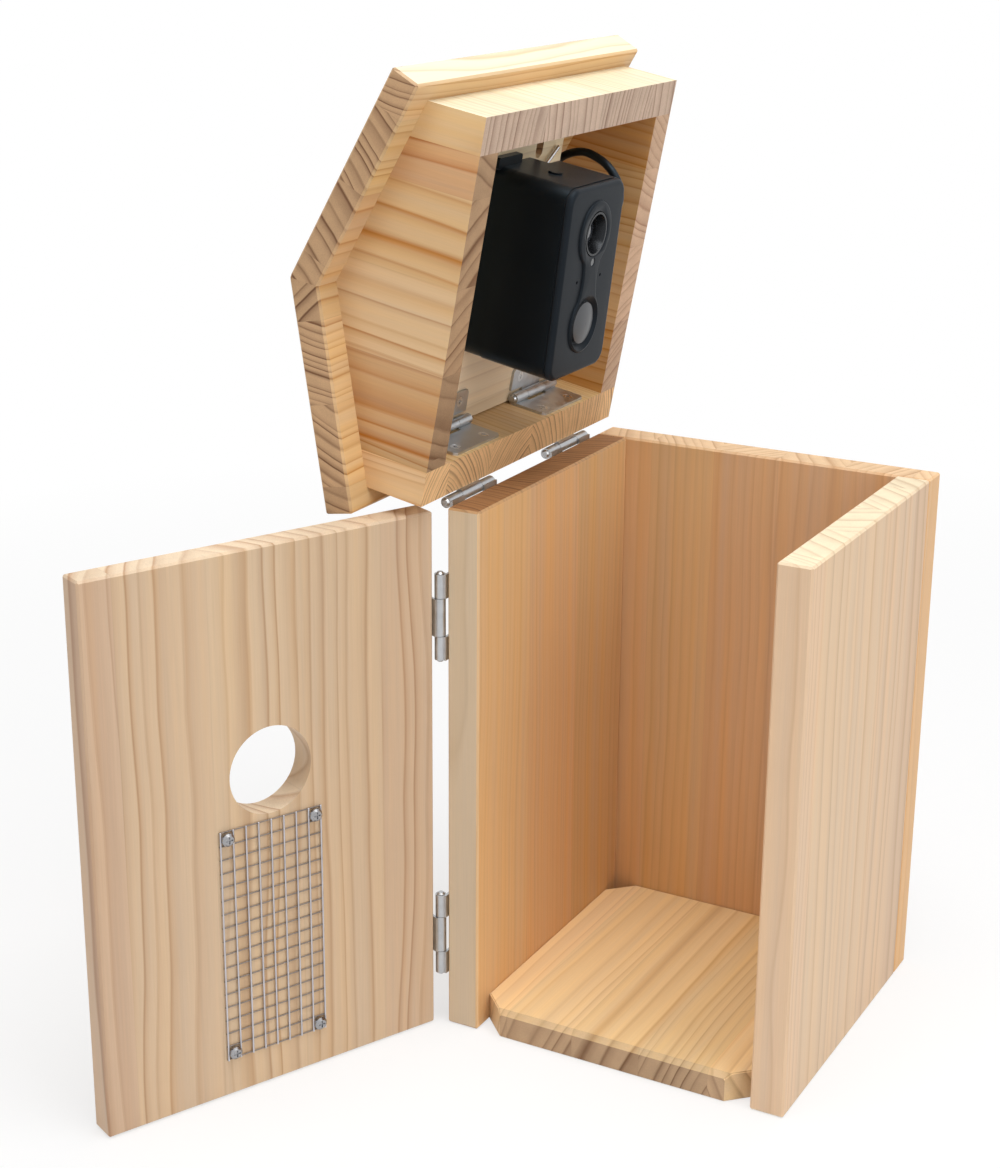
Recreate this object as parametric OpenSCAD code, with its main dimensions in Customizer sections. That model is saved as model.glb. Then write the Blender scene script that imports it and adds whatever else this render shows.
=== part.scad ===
// Wooden nest box with a hinged door, a hinged gable roof and an inner hatch that carries a camera.
// X runs to the right, Y to the back and Z up. The origin is the middle of the box's footprint on
// the ground. Everything is drawn as the box stands opened for service: the door and the roof are
// at their open angles, the hatch lies closed in the roof and its turn catch is released.

/* [Box] */
// Outside width of the box
box_w = 160; // [140:1:200]
// Height of the walls
wall_h = 240; // [225:1:300]
// Depth of the side walls, from the front edge to the back panel
wall_d = 140; // [135:1:180]
// Thickness of the side walls
wall_t = 15; // [12:0.5:18]
// Thickness of the back panel
back_t = 15; // [12:0.5:20]
// Thickness of the floor
floor_t = 13; // [11:0.5:18]
// Length of the cuts that leave drain holes at the floor's corners
drain_cut = 11.4; // [6:0.1:20]
// Width of the small bevel along every board edge
board_ease = 0.9; // [0.4:0.1:1.5]

/* [Door] */
// Thickness of the door
door_t = 12.5; // [10:0.5:18]
// Height of the door
door_h = 238; // [200:1:238]
// Height of the door's bottom edge above the ground
door_lift = 0.4; // [0.2:0.1:0.5]
// Gap between the closed door and the walls
door_gap = 1; // [0.6:0.1:2]
// Angle at which the door stands open
door_open = 115.1; // [60:0.1:118]
// Diameter of the entrance hole
hole_d = 38; // [26:1:50]
// Height of the entrance hole's centre above the door's bottom edge
hole_z = 142.5; // [140:0.5:190]

/* [Ladder mesh] */
// Gaps across the mesh
mesh_columns = 8; // [4:1:10]
// Gaps up the mesh
mesh_rows = 17; // [8:1:18]
// Distance from one upright wire to the next
mesh_pitch_u = 5.9; // [5.2:0.1:7]
// Distance from one rung to the next
mesh_pitch_z = 6.1; // [5.2:0.1:6.2]
// Width of an upright wire
mesh_upright = 1; // [0.6:0.1:1.4]
// Width of a rung
mesh_rung = 0.9; // [0.6:0.1:1.4]
// Thickness of one layer of the mesh
mesh_layer = 0.9; // [0.6:0.1:1.4]
// Height of the mesh's lowest edge above the door's bottom edge
mesh_z = 16.8; // [8:0.1:17]
// Distance of the mesh's centre line from the door's centre line, away from the hinges
mesh_shift = 1; // [-4:0.5:4]

/* [Roof] */
// Gap between the closed roof and the walls
roof_gap = 1; // [0.6:0.1:2]
// Angle at which the roof stands open
roof_open = 79.3; // [40:0.1:79.4]
// Thickness of the roof's side walls
side_t = 15; // [12:0.5:18]
// Thickness of the gables
gable_t = 14.6; // [12:0.1:18]
// Height of the roof's side walls at their outer face
side_h = 26.1; // [26:0.1:40]
// Slope of the roof
roof_pitch = 19.6; // [19:0.1:30]
// Thickness of the roof boards
roof_t = 13; // [10:0.5:16]
// How far the roof frame stands past the closed door's front
front_reach = 2.5; // [1:0.1:6]
// How far the roof frame stands past the back panel
rear_reach = 2.5; // [0:0.1:6]
// How far the boards overhang the side walls, along the slope
eave = 8; // [4:0.5:8]
// How far the boards overhang the front gable
front_overhang = 13.7; // [8:0.1:25]
// How far the boards overhang the rear gable
rear_overhang = 6; // [2:0.1:15]
// Width cut off along the ridge
ridge_blunt = 1.2; // [0.6:0.1:2.5]

/* [Hinges] */
// Length of every hinge
hinge_len = 38; // [34:0.5:42]
// Length of an end knuckle
end_knuckle = 10.5; // [8:0.1:12]
// Play between two knuckles
knuckle_gap = 0.2; // [0.1:0.05:0.4]
// Thickness of a leaf
leaf_t = 1.2; // [0.8:0.1:1.4]
// Outer radius of a knuckle
barrel_r = 2.4; // [2.1:0.1:2.6]
// Radius of a hinge pin
pin_r = 1.15; // [0.8:0.05:1.3]
// Running clearance between a pin and its knuckles
pin_fit = 0.05; // [0.02:0.01:0.1]
// Distance from an outer hinge's pin to the wood that it is screwed to
outer_offset = 3.2; // [3:0.1:3.6]
// Distance from a hatch hinge's pin to the wood that it is screwed to
hatch_offset = 2.8; // [2.7:0.1:3.4]
// Reach of a leaf on the door, the walls and the outside of the roof, from the pin
outer_leaf_w = 12.3; // [11:0.1:12.4]
// Reach of a hatch hinge's leaf on the roof's side wall, from the pin
side_leaf_w = 16.8; // [14:0.1:17.5]
// Reach of a hatch hinge's leaf on the hatch, from the pin
plate_leaf_w = 13.3; // [11:0.1:17]
// Height of the lower door hinge's lower end
door_hinge_low = 25; // [15:1:60]
// Height of the upper door hinge's lower end
door_hinge_high = 173; // [110:1:182]
// Distance of the front roof hinge from the roof's front
roof_hinge_front = 20.5; // [18:0.5:40]
// Distance of the rear roof hinge from the roof's front
roof_hinge_rear = 109.5; // [90:0.5:118]
// Distance of the front hatch hinge from the roof's front
hatch_hinge_front = 27; // [20:0.5:50]
// Distance of the rear hatch hinge from the roof's front
hatch_hinge_rear = 106; // [90:0.5:112]

/* [Screws and dowels] */
// Diameter of a countersunk screw's head
csk_head = 4.6; // [4:0.1:5]
// Diameter of a screw's shank
screw_shank = 2.3; // [1.8:0.1:2.6]
// Length of a hinge screw
hinge_screw_l = 8; // [6:0.5:8.5]
// Distance of a hinge screw from the leaf's free edge
screw_edge = 4.6; // [4:0.1:6]
// Distance of a hinge screw from the leaf's end
screw_inset = 7; // [5:0.5:9]
// Diameter of a pan head
pan_head = 5.6; // [5:0.1:6.4]
// Height of a pan head
pan_h = 1.7; // [1.2:0.1:2.2]
// Length of a mesh screw under its head
mesh_screw_l = 9; // [6:0.5:9.5]
// Play around a screw
screw_fit = 0.1; // [0.05:0.01:0.2]
// Diameter of a dowel
dowel_d = 6; // [5:0.5:7]
// Depth of a dowel in the end of a board
dowel_deep = 15; // [8:1:16]
// Wood left over a dowel in a board's face
dowel_skin = 5; // [3:0.5:6]
// Play around a dowel
dowel_fit = 0.05; // [0.02:0.01:0.2]
// Room past a dowel's end
dowel_spare = 0.5; // [0.2:0.1:1]

/* [Hatch] */
// Height of the hatch's lower face above the roof's opening
hatch_b = 21.5; // [20:0.1:22]
// Thickness of the hatch
hatch_t = 9.5; // [8:0.1:9.6]
// Play between the hatch and the roof frame
hatch_gap = 0.5; // [0.4:0.05:1]
// Play at the hatch's free edge
hatch_free_gap = 1.2; // [1.1:0.1:2]
// Distance of the lead's notch from the roof's front
notch_y = 115; // [108:0.5:130]
// Distance of the notch's closed edge from the roof's hinge side
notch_a = 60; // [50:0.5:80]
// Width of the finger slot
slot_w = 6.2; // [5:0.1:8]
// Distance of the slot's centre line from the roof's front
slot_y = 93.4; // [88:0.1:94]
// Distance of the slot's closed end from the roof's hinge side
slot_a = 128.3; // [128:0.1:138]

/* [Turn catch] */
// Radius of the catch's wire
catch_r = 1; // [0.8:0.05:1.2]
// Distance of the catch from the roof's hinge side
catch_a = 125.2; // [122:0.1:127]
// Distance of the catch from the roof's front
catch_y = 98.8; // [98.5:0.1:101]
// Length of the lever
lever_l = 11; // [8:0.5:16]
// Length of the tongue behind the hatch
tongue_l = 22; // [20:0.5:23]
// Angle of the released catch from square to the free edge
catch_open = 54; // [45:1:70]
// Play around the catch
catch_gap = 0.3; // [0.2:0.05:0.4]
// Running clearance of the catch in the hatch
catch_fit = 0.08; // [0.03:0.01:0.1]

/* [Camera] */
// Distance of the camera's centre from the roof's hinge side
cam_a = 89.2; // [86:0.1:92]
// Distance of the camera's centre from the roof's front
cam_y = 76; // [60:0.5:80]
// Length of the camera
cam_l = 80.5; // [70:0.5:84]
// Width of the camera
cam_w = 50; // [46:0.5:56]
// Corner radius of the camera
cam_r = 7; // [4:0.5:10]
// Wall of the camera's shells
cam_wall = 2.2; // [1.6:0.1:3]
// Depth of the camera's foot
foot_d = 9.5; // [7:0.5:12]
// Width of the camera's foot
foot_w = 40; // [32:0.5:44]
// Distance of the foot's centre line from the camera's, towards the front
foot_shift = 4; // [0:0.5:4]
// Depth of the camera at the middle of its lens face
face_depth = 41.4; // [38:0.1:46]
// Slope of the lens face
face_tilt = 3.5; // [0:0.1:4]
// Thickness of the lens face
face_t = 2.6; // [2:0.1:4]
// Thickness of the seal behind the lens face
seal_t = 0.6; // [0.4:0.1:1]
// Height of the raised figure on the lens face
relief_h = 1; // [0.6:0.1:1.6]
// Distance of the lens from the camera's centre
lens_x = 19.8; // [16:0.1:22]
// Radius of the opening round the lens
lens_r = 9.3; // [9.2:0.1:9.6]
// Distance of the lower window from the camera's centre
window_x = 18.2; // [15:0.1:22]
// Radius of the lower window
window_r = 8.8; // [7:0.1:10]
// Diameter of the button
button_d = 6; // [4:0.1:8]
// Travel of the button
button_travel = 0.6; // [0.3:0.1:0.8]

/* [Power] */
// Length of the battery case
pack_l = 76; // [60:1:80]
// Width of the battery case
pack_w = 36; // [30:1:38]
// Height of the battery case
pack_h = 12.5; // [10:0.5:13]
// Diameter of the lead
lead_d = 3.6; // [3:0.1:4.2]

/* [Hidden] */
$fn = 48;

pine = [0.86, 0.70, 0.50];
pine_dark = [0.78, 0.58, 0.37];
steel = [0.72, 0.73, 0.74];
black_plastic = [0.08, 0.085, 0.09];
grey_plastic = [0.25, 0.26, 0.27];

// Overcut that keeps a cut clear of a flush face
cut = 1;
box_d = wall_d + back_t;
front_y = -box_d / 2;
panel_y = front_y + wall_d;
inner_w = box_w - 2 * wall_t;
box_dowel_z = [wall_h * 0.14, wall_h * 0.5, wall_h * 0.86];
floor_dowel_y = [front_y + wall_d * 0.25, front_y + wall_d * 0.75];

// Hinge axes of the door and the roof
axis_x = -box_w / 2 - outer_offset;
door_axis_y = front_y - door_gap / 2;
roof_axis_z = wall_h + roof_gap / 2;

// Roof frame: x from the hinge side, y from the roof's front, z from the roof's opening
roof_y = front_y - door_gap - door_t - front_reach;
roof_d = front_reach + door_t + door_gap + box_d + rear_reach;
function under(a) = side_h + min(a, box_w - a) * tan(roof_pitch);
gable_dowel_z = 12;
slope_dowel_a = box_w * 0.28;

// Mesh, in the door's frame
mesh_w = mesh_columns * mesh_pitch_u + mesh_upright;
mesh_h = mesh_rows * mesh_pitch_z + mesh_rung;
mesh_u = box_w / 2 + mesh_shift - mesh_w / 2;
mesh_top = mesh_layer * 1.55;
mesh_screw_u = [mesh_u + (mesh_pitch_u + mesh_upright) / 2, mesh_u + mesh_w - (mesh_pitch_u + mesh_upright) / 2];
mesh_screw_z = [mesh_z + (mesh_pitch_z + mesh_rung) / 2, mesh_z + mesh_h - (mesh_pitch_z + mesh_rung) / 2];

// Hatch, in the roof's frame
hatch_a = side_t + hatch_gap;
hatch_end = box_w - side_t - hatch_free_gap;
hatch_front = gable_t + hatch_gap;
hatch_rear = roof_d - gable_t - hatch_gap;
hatch_axis_a = side_t + hatch_offset;
hatch_axis_b = hatch_b - hatch_offset;
catch_front_b = hatch_b - catch_gap - catch_r;
catch_rear_b = hatch_b + hatch_t + catch_gap + catch_r;

// Camera frame: x along the camera, y to the front, z from the hatch to the lens
foot_screw_x = cam_l / 2 - 7.2;
foot_boss_r = 3.6;
foot_tab = 4;
button_z = 19.6;
board_z = 16.8;
board_t = 1.6;
port_x = 18.8;
port_z = 29;
sensor_x = 8;
sensor_r = 1.6;
mic_x = 0.8;
mic_y = 10.7;
barrel_l = 17;
window_groove = 3.4;
waist_w = 13;
waist_r = 24;

// Battery case and plugs, in the roof's frame
pack_a = 80;
pack_y = 60;
pack_r = 4;
pack_wall = 1.6;
pack_b = hatch_b + hatch_t;
pack_ear = 7;
pack_ear_t = 2.4;
pack_ear_y = 20;
plug_b = pack_b + pack_h / 2;
plug_l = 11;
plug_w = 10;
plug_t = 6.4;
plug_tip = [7, 5, 2.4];
lead_step = 6;

// Route of the lead from the battery plug to the camera plug, chosen by hand
lead_route = [
    [pack_a, pack_y + pack_l / 2 + plug_l, plug_b], [80, 114, 37.2], [84, 121, 37], [93, 125, 36.5],
    [105, 126, 35], [117, 126, 31], [125, 125, 24.5], [129, 124, 16], [128.6, 123, 8],
    [126, 122, 1], [121, 121.5, -4.5], [114.5, 120.5, -7.2], [109.8, 117.5, -7.5],
    [108, 114, -7.5], [cam_a + port_x, cam_y + cam_w / 2 + plug_l, hatch_b - port_z]
];

// Frames of the moving assemblies
module door_frame()
    translate([axis_x, door_axis_y, 0])
        rotate([0, 0, -door_open])
            translate([outer_offset, -door_gap / 2 - door_t, door_lift])
                children();

module roof_frame()
    translate([axis_x, roof_y, roof_axis_z])
        rotate([0, -roof_open, 0])
            translate([outer_offset, 0, roof_gap / 2])
                children();

module camera_frame()
    roof_frame()
        translate([cam_a, cam_y, hatch_b])
            rotate([180, 0, 0])
                children();

module face_frame()
    translate([0, 0, face_depth])
        rotate([0, face_tilt, 0])
            children();

// Boards
module eased_rect(w, h, e)
    polygon([[e, 0], [w - e, 0], [w, e], [w, h - e], [w - e, h], [e, h], [0, h - e], [0, e]]);

module board(size, e = board_ease)
    intersection() {
        linear_extrude(size[2])
            eased_rect(size[0], size[1], e);
        translate([0, size[1], 0])
            rotate([90, 0, 0])
                linear_extrude(size[1])
                    eased_rect(size[0], size[2], e);
        rotate([90, 0, 90])
            linear_extrude(size[0])
                eased_rect(size[1], size[2], e);
    }

module round_rect(l, w, r) {
    square([l - 2 * r, w], center = true);
    square([l, w - 2 * r], center = true);
    for (x = [-1, 1], y = [-1, 1])
        translate([x * (l / 2 - r), y * (w / 2 - r)])
            circle(r);
}

// Dowels: the same set draws the pegs and, with play, the holes
module peg(d, before, after)
    translate([0, 0, -before])
        cylinder(d = d, h = before + after);

module box_dowel_set(d, spare)
    for (side = [-1, 1]) {
        for (z = box_dowel_z)
            translate([side * (box_w - wall_t) / 2, panel_y, z])
                rotate([-90, 0, 0])
                    peg(d, dowel_deep + spare, back_t - dowel_skin + spare);
        for (y = floor_dowel_y)
            translate([side * inner_w / 2, y, floor_t / 2])
                rotate([0, side * 90, 0])
                    peg(d, dowel_deep + spare, wall_t - dowel_skin + spare);
    }

module box_dowel_holes()
    box_dowel_set(dowel_d + 2 * dowel_fit, dowel_spare);

module roof_dowel_set(d, spare)
    for (y = [gable_t / 2, roof_d - gable_t / 2], side = [-1, 1]) {
        translate([box_w / 2 + side * (box_w / 2 - side_t), y, gable_dowel_z])
            rotate([0, side * 90, 0])
                peg(d, dowel_deep + spare, side_t - dowel_skin + spare);
        translate([box_w / 2 + side * (box_w / 2 - slope_dowel_a), y, under(slope_dowel_a)])
            rotate([0, side * roof_pitch, 0])
                peg(d, dowel_deep + spare, roof_t - dowel_skin + spare);
    }

module roof_dowel_holes()
    roof_dowel_set(dowel_d + 2 * dowel_fit, dowel_spare);

// Screws: the head starts at z = 0 and the shank runs along +z
module cross_recess(w)
    for (turn = [0, 90])
        rotate(turn)
            translate([-w / 2, -w / 10, -cut])
                cube([w, w / 5, cut + w / 5]);

module csk_screw(l)
    difference() {
        union() {
            cylinder(d1 = csk_head, d2 = screw_shank, h = (csk_head - screw_shank) / 2);
            cylinder(d = screw_shank, h = l - 1);
            translate([0, 0, l - 1])
                cylinder(d1 = screw_shank, d2 = screw_shank / 3, h = 1);
        }
        cross_recess(csk_head * 0.55);
    }

module pan_screw(l)
    difference() {
        union() {
            translate([0, 0, -pan_h * 0.55])
                cylinder(d = pan_head, h = pan_h * 0.55);
            translate([0, 0, -pan_h])
                cylinder(d1 = pan_head * 0.7, d2 = pan_head, h = pan_h * 0.45);
            translate([0, 0, -pan_h * 0.1])
                cylinder(d = screw_shank, h = l - 1 + pan_h * 0.1);
            translate([0, 0, l - 1])
                cylinder(d1 = screw_shank, d2 = screw_shank / 3, h = 1);
        }
        translate([0, 0, -pan_h])
            cross_recess(pan_head * 0.55);
    }

module csk_hole(l) {
    cylinder(d1 = csk_head + 2 * screw_fit, d2 = screw_shank + 2 * screw_fit, h = (csk_head - screw_shank) / 2);
    shank_hole(l);
}

module shank_hole(l)
    translate([0, 0, -cut])
        cylinder(d = screw_shank + 2 * screw_fit, h = l + cut + 0.4);

// Hinges: the pin runs along z, and a leaf reaches along x with its wood at y = offset
module leaf_screw_sites(width, offset)
    for (z = [screw_inset, hinge_len - screw_inset])
        translate([width - screw_edge, offset - leaf_t, z])
            rotate([-90, 0, 0])
                children();

module leaf_outline(width)
    polygon([[-1, 0], [width - 1.5, 0], [width, 1.5], [width, hinge_len - 1.5], [width - 1.5, hinge_len], [-1, hinge_len]]);

module knuckles(ends) {
    if (ends)
        for (z = [0, hinge_len - end_knuckle])
            translate([0, 0, z])
                cylinder(r = barrel_r, h = end_knuckle);
    else
        translate([0, 0, end_knuckle + knuckle_gap])
            cylinder(r = barrel_r, h = hinge_len - 2 * (end_knuckle + knuckle_gap));
}

// Room in a leaf for the other leaf's knuckles
module knuckle_room(ends, offset) {
    room_x = offset + 0.4;
    spans = ends ? [[end_knuckle, hinge_len - end_knuckle]]
                 : [[-cut, end_knuckle + knuckle_gap], [hinge_len - end_knuckle - knuckle_gap, hinge_len + cut]];
    for (s = spans)
        translate([-offset - cut, -offset - cut, s[0]])
            cube([offset + cut + room_x, 2 * (offset + cut), s[1] - s[0]]);
}

module hinge_leaf(ends, width, offset)
    color(steel)
        difference() {
            union() {
                difference() {
                    translate([0, offset, 0])
                        rotate([90, 0, 0])
                            linear_extrude(leaf_t)
                                leaf_outline(width);
                    knuckle_room(ends, offset);
                }
                knuckles(ends);
            }
            translate([0, 0, -cut])
                cylinder(r = pin_r + pin_fit, h = hinge_len + 2 * cut);
            leaf_screw_sites(width, offset)
                csk_hole(leaf_t + cut);
        }

module hinge_pin()
    color(steel) {
        translate([0, 0, -0.3])
            cylinder(r = pin_r, h = hinge_len + 0.6);
        for (end = [0, 1])
            translate([0, 0, end * hinge_len])
                mirror([0, 0, 1 - end])
                    translate([0, 0, 0.1])
                        cylinder(r1 = barrel_r * 0.78, r2 = barrel_r * 0.5, h = 0.8);
    }

module door_hinge_at(z)
    translate([axis_x, door_axis_y, z])
        children();

module roof_hinge_at(y)
    translate([axis_x, roof_y + y, roof_axis_z])
        rotate([-90, 0, 0])
            children();

module hatch_hinge_at(y)
    roof_frame()
        translate([hatch_axis_a, y, hatch_axis_b])
            rotate([-90, 0, 0])
                children();

// The wall's side of an outer hinge, and its other side turned to the open angle
module wall_side()
    rotate([0, 0, 90])
        mirror([0, 1, 0])
            children();

module moving_side(angle)
    rotate([0, 0, -90 - angle])
        children();

module door_hinges()
    for (z = [door_hinge_low, door_hinge_high])
        door_hinge_at(z)
            children();

module roof_hinges()
    for (y = [roof_hinge_front, roof_hinge_rear])
        roof_hinge_at(y)
            children();

module hatch_hinges()
    for (y = [hatch_hinge_front, hatch_hinge_rear])
        hatch_hinge_at(y)
            children();

module wall_screw_sites() {
    door_hinges()
        wall_side()
            leaf_screw_sites(outer_leaf_w, outer_offset)
                children();
    roof_hinges()
        wall_side()
            leaf_screw_sites(outer_leaf_w, outer_offset)
                children();
}

module door_screw_sites()
    door_hinges()
        moving_side(door_open)
            leaf_screw_sites(outer_leaf_w, outer_offset)
                children();

module roof_screw_sites() {
    roof_hinges()
        moving_side(roof_open)
            leaf_screw_sites(outer_leaf_w, outer_offset)
                children();
    hatch_hinges()
        rotate([0, 0, 90])
            leaf_screw_sites(side_leaf_w, hatch_offset)
                children();
}

module hatch_screw_sites()
    hatch_hinges()
        mirror([0, 1, 0])
            leaf_screw_sites(plate_leaf_w, hatch_offset)
                children();

// Box
module back_panel()
    color(pine)
        difference() {
            translate([-box_w / 2, panel_y, 0])
                board([box_w, back_t, wall_h]);
            box_dowel_holes();
        }

module side_wall(side)
    translate([side < 0 ? -box_w / 2 : box_w / 2 - wall_t, front_y, 0])
        board([wall_t, wall_d, wall_h]);

module left_wall()
    color(pine)
        difference() {
            side_wall(-1);
            box_dowel_holes();
            wall_screw_sites()
                shank_hole(hinge_screw_l);
        }

module right_wall()
    color(pine)
        difference() {
            side_wall(1);
            box_dowel_holes();
        }

module floor_board()
    color(pine_dark)
        difference() {
            translate([-inner_w / 2, front_y, 0])
                linear_extrude(floor_t)
                    eased_rect(inner_w, wall_d, drain_cut);
            box_dowel_holes();
        }

module box_dowels()
    color(pine_dark)
        box_dowel_set(dowel_d, 0);

module wall_hinge_screws()
    color(steel)
        wall_screw_sites()
            csk_screw(hinge_screw_l);

// Door
module mesh_screw_sites()
    for (u = mesh_screw_u, z = mesh_screw_z)
        translate([u, door_t + mesh_top, z])
            rotate([90, 0, 0])
                children();

module front_door()
    color(pine)
        difference() {
            door_frame()
                difference() {
                    board([box_w, door_t, door_h]);
                    translate([box_w / 2, -cut, hole_z])
                        rotate([-90, 0, 0])
                            cylinder(d = hole_d, h = door_t + 2 * cut);
                    mesh_screw_sites()
                        shank_hole(mesh_screw_l);
                }
            door_screw_sites()
                shank_hole(hinge_screw_l);
        }

module ladder_mesh()
    color(steel)
        door_frame()
            translate([mesh_u, door_t, mesh_z]) {
                for (row = [0:mesh_rows])
                    translate([0, 0, row * mesh_pitch_z])
                        cube([mesh_w, mesh_layer, mesh_rung]);
                for (column = [0:mesh_columns])
                    translate([column * mesh_pitch_u, mesh_top - mesh_layer, 0])
                        cube([mesh_upright, mesh_layer, mesh_h]);
            }

module mesh_screws()
    color(steel)
        door_frame()
            mesh_screw_sites()
                pan_screw(mesh_screw_l);

module door_hinge_screws()
    color(steel)
        door_screw_sites()
            csk_screw(hinge_screw_l);

// Roof
module roof_side_outline()
    polygon([[0, 0], [side_t, 0], [side_t, under(side_t)], [0, side_h]]);

module roof_length(y, l)
    translate([0, y + l, 0])
        rotate([90, 0, 0])
            linear_extrude(l)
                children();

// The disc that the catch's tongue sweeps, cut into the frame that it locks behind
module catch_pocket()
    translate([catch_a, catch_y, catch_rear_b - catch_r - catch_gap])
        cylinder(r = tongue_l + catch_r + 2 * catch_gap, h = 2 * (catch_r + catch_gap));

module roof_left_side()
    color(pine)
        difference() {
            roof_frame()
                difference() {
                    roof_length(0, roof_d)
                        roof_side_outline();
                    roof_dowel_holes();
                }
            roof_screw_sites()
                shank_hole(hinge_screw_l);
        }

module roof_right_side()
    color(pine)
        roof_frame()
            difference() {
                translate([box_w, 0, 0])
                    mirror([1, 0, 0])
                        roof_length(0, roof_d)
                            roof_side_outline();
                roof_dowel_holes();
                catch_pocket();
            }

module gable(y)
    color(pine)
        roof_frame()
            difference() {
                roof_length(y, gable_t)
                    polygon([
                        [side_t, 0], [box_w - side_t, 0], [box_w - side_t, under(side_t)],
                        [box_w / 2, under(box_w / 2)], [side_t, under(side_t)]
                    ]);
                roof_dowel_holes();
            }

module roof_front_gable()
    gable(0);

module roof_rear_gable()
    gable(roof_d - gable_t);

// A roof board lies on the slope, mitred at the ridge and blunted along it
module roof_board()
    color(pine)
        intersection() {
            translate([0, -front_overhang, side_h])
                rotate([0, -roof_pitch, 0])
                    translate([-eave, 0, 0])
                        board([eave + box_w, front_overhang + roof_d + rear_overhang, roof_t]);
            translate([-box_w / 2, -front_overhang - cut, -cut])
                cube([box_w, front_overhang + roof_d + rear_overhang + 2 * cut,
                      cut + under(box_w / 2) + roof_t / cos(roof_pitch) - ridge_blunt * tan(roof_pitch)]);
        }

module roof_left_board()
    roof_frame()
        difference() {
            roof_board();
            roof_dowel_holes();
        }

module roof_right_board()
    roof_frame()
        difference() {
            translate([box_w, 0, 0])
                mirror([1, 0, 0])
                    roof_board();
            roof_dowel_holes();
            catch_pocket();
        }

module roof_dowels()
    color(pine_dark)
        roof_frame()
            roof_dowel_set(dowel_d, 0);

module roof_hinge_screws()
    color(steel)
        roof_screw_sites()
            csk_screw(hinge_screw_l);

// Hatch
module camera_screw_sites()
    for (x = [-foot_screw_x, foot_screw_x])
        translate([cam_a + x, cam_y - foot_shift, hatch_b + hatch_t])
            rotate([180, 0, 0])
                children();

module battery_screw_sites()
    for (side = [-1, 1])
        translate([pack_a + side * (pack_w / 2 + pack_ear / 2), pack_y + side * pack_ear_y, pack_b + pack_ear_t])
            rotate([180, 0, 0])
                children();

module hatch_plate()
    color(pine)
        difference() {
            roof_frame()
                difference() {
                    translate([hatch_a, hatch_front, hatch_b])
                        board([hatch_end - hatch_a, hatch_rear - hatch_front, hatch_t], board_ease / 2);
                    translate([notch_a, notch_y, hatch_b - cut])
                        cube([box_w, roof_d, hatch_t + 2 * cut]);
                    translate([slot_a + slot_w / 2, slot_y - slot_w / 2, hatch_b - cut])
                        cube([box_w, slot_w, hatch_t + 2 * cut]);
                    translate([slot_a + slot_w / 2, slot_y, hatch_b - cut])
                        cylinder(d = slot_w, h = hatch_t + 2 * cut);
                    translate([catch_a, catch_y, hatch_b - cut])
                        cylinder(r = catch_r + catch_fit, h = hatch_t + 2 * cut);
                    camera_screw_sites()
                        shank_hole(hatch_t + cut);
                    battery_screw_sites()
                        shank_hole(pack_ear_t + hatch_t - 2);
                }
            hatch_screw_sites()
                shank_hole(hinge_screw_l);
        }

module hatch_hinge_screws()
    color(steel)
        hatch_screw_sites()
            csk_screw(hinge_screw_l);

// Bent wire: a lever under the hatch, a shank through it and a tongue behind it
module turn_catch()
    color(steel)
        roof_frame()
            translate([catch_a, catch_y, 0])
                rotate([0, 0, catch_open]) {
                    translate([0, 0, catch_front_b])
                        cylinder(r = catch_r, h = catch_rear_b - catch_front_b);
                    wire_arm(catch_front_b, lever_l);
                    wire_arm(catch_rear_b, tongue_l);
                }

module wire_arm(z, l)
    translate([0, 0, z]) {
        sphere(catch_r);
        rotate([0, 90, 0])
            cylinder(r = catch_r, h = l);
        translate([l, 0, 0])
            sphere(catch_r);
    }

// Camera
module camera_outline(inset = 0)
    round_rect(cam_l - 2 * inset, cam_w - 2 * inset, cam_r - inset);

module camera_prism(inset, z)
    translate([0, 0, z])
        linear_extrude(2 * face_depth)
            camera_outline(inset);

// Slab of the camera that is parallel to the lens face
module face_slab(from, to)
    face_frame()
        translate([-cam_l, -cam_w, from])
            cube([2 * cam_l, 2 * cam_w, to - from]);

module foot_outline(inset = 0)
    translate([0, foot_shift])
        round_rect(cam_l - 2 * inset, foot_w - 2 * inset, cam_r - inset);

module camera_foot()
    color(black_plastic)
        camera_frame()
            difference() {
                union() {
                    difference() {
                        linear_extrude(foot_d)
                            foot_outline();
                        translate([0, 0, cam_wall])
                            linear_extrude(foot_d)
                                foot_outline(cam_wall);
                    }
                    for (x = [-foot_screw_x, foot_screw_x])
                        translate([x, foot_shift, 0])
                            cylinder(r = foot_boss_r, h = foot_d - 0.6);
                    translate([cam_l / 2 - 1, 3, 0])
                        linear_extrude(3)
                            eased_rect(1 + foot_tab, foot_w / 2, 0.8);
                }
                for (x = [-foot_screw_x, foot_screw_x])
                    translate([x, foot_shift, -cut])
                        cylinder(d = screw_shank + 2 * screw_fit, h = foot_d - 1);
            }

module camera_shell()
    color(black_plastic)
        camera_frame()
            difference() {
                intersection() {
                    camera_prism(0, foot_d);
                    face_slab(-2 * face_depth, -face_t - seal_t);
                }
                camera_prism(cam_wall, foot_d + cam_wall);
                translate([cam_l / 2 - cam_wall - cut, foot_shift, button_z])
                    rotate([0, 90, 0])
                        cylinder(d = button_d + 0.4, h = cam_wall + 2 * cut);
                translate([port_x, -cam_w / 2, port_z])
                    cube([plug_tip[0] + 0.6, 2 * cam_wall + 1, plug_tip[2] + 0.6], center = true);
            }

module camera_seal()
    color(grey_plastic)
        camera_frame()
            difference() {
                intersection() {
                    camera_prism(0.5, 0);
                    face_slab(-face_t - seal_t, -face_t);
                }
                camera_prism(cam_wall, 0);
            }

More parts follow.
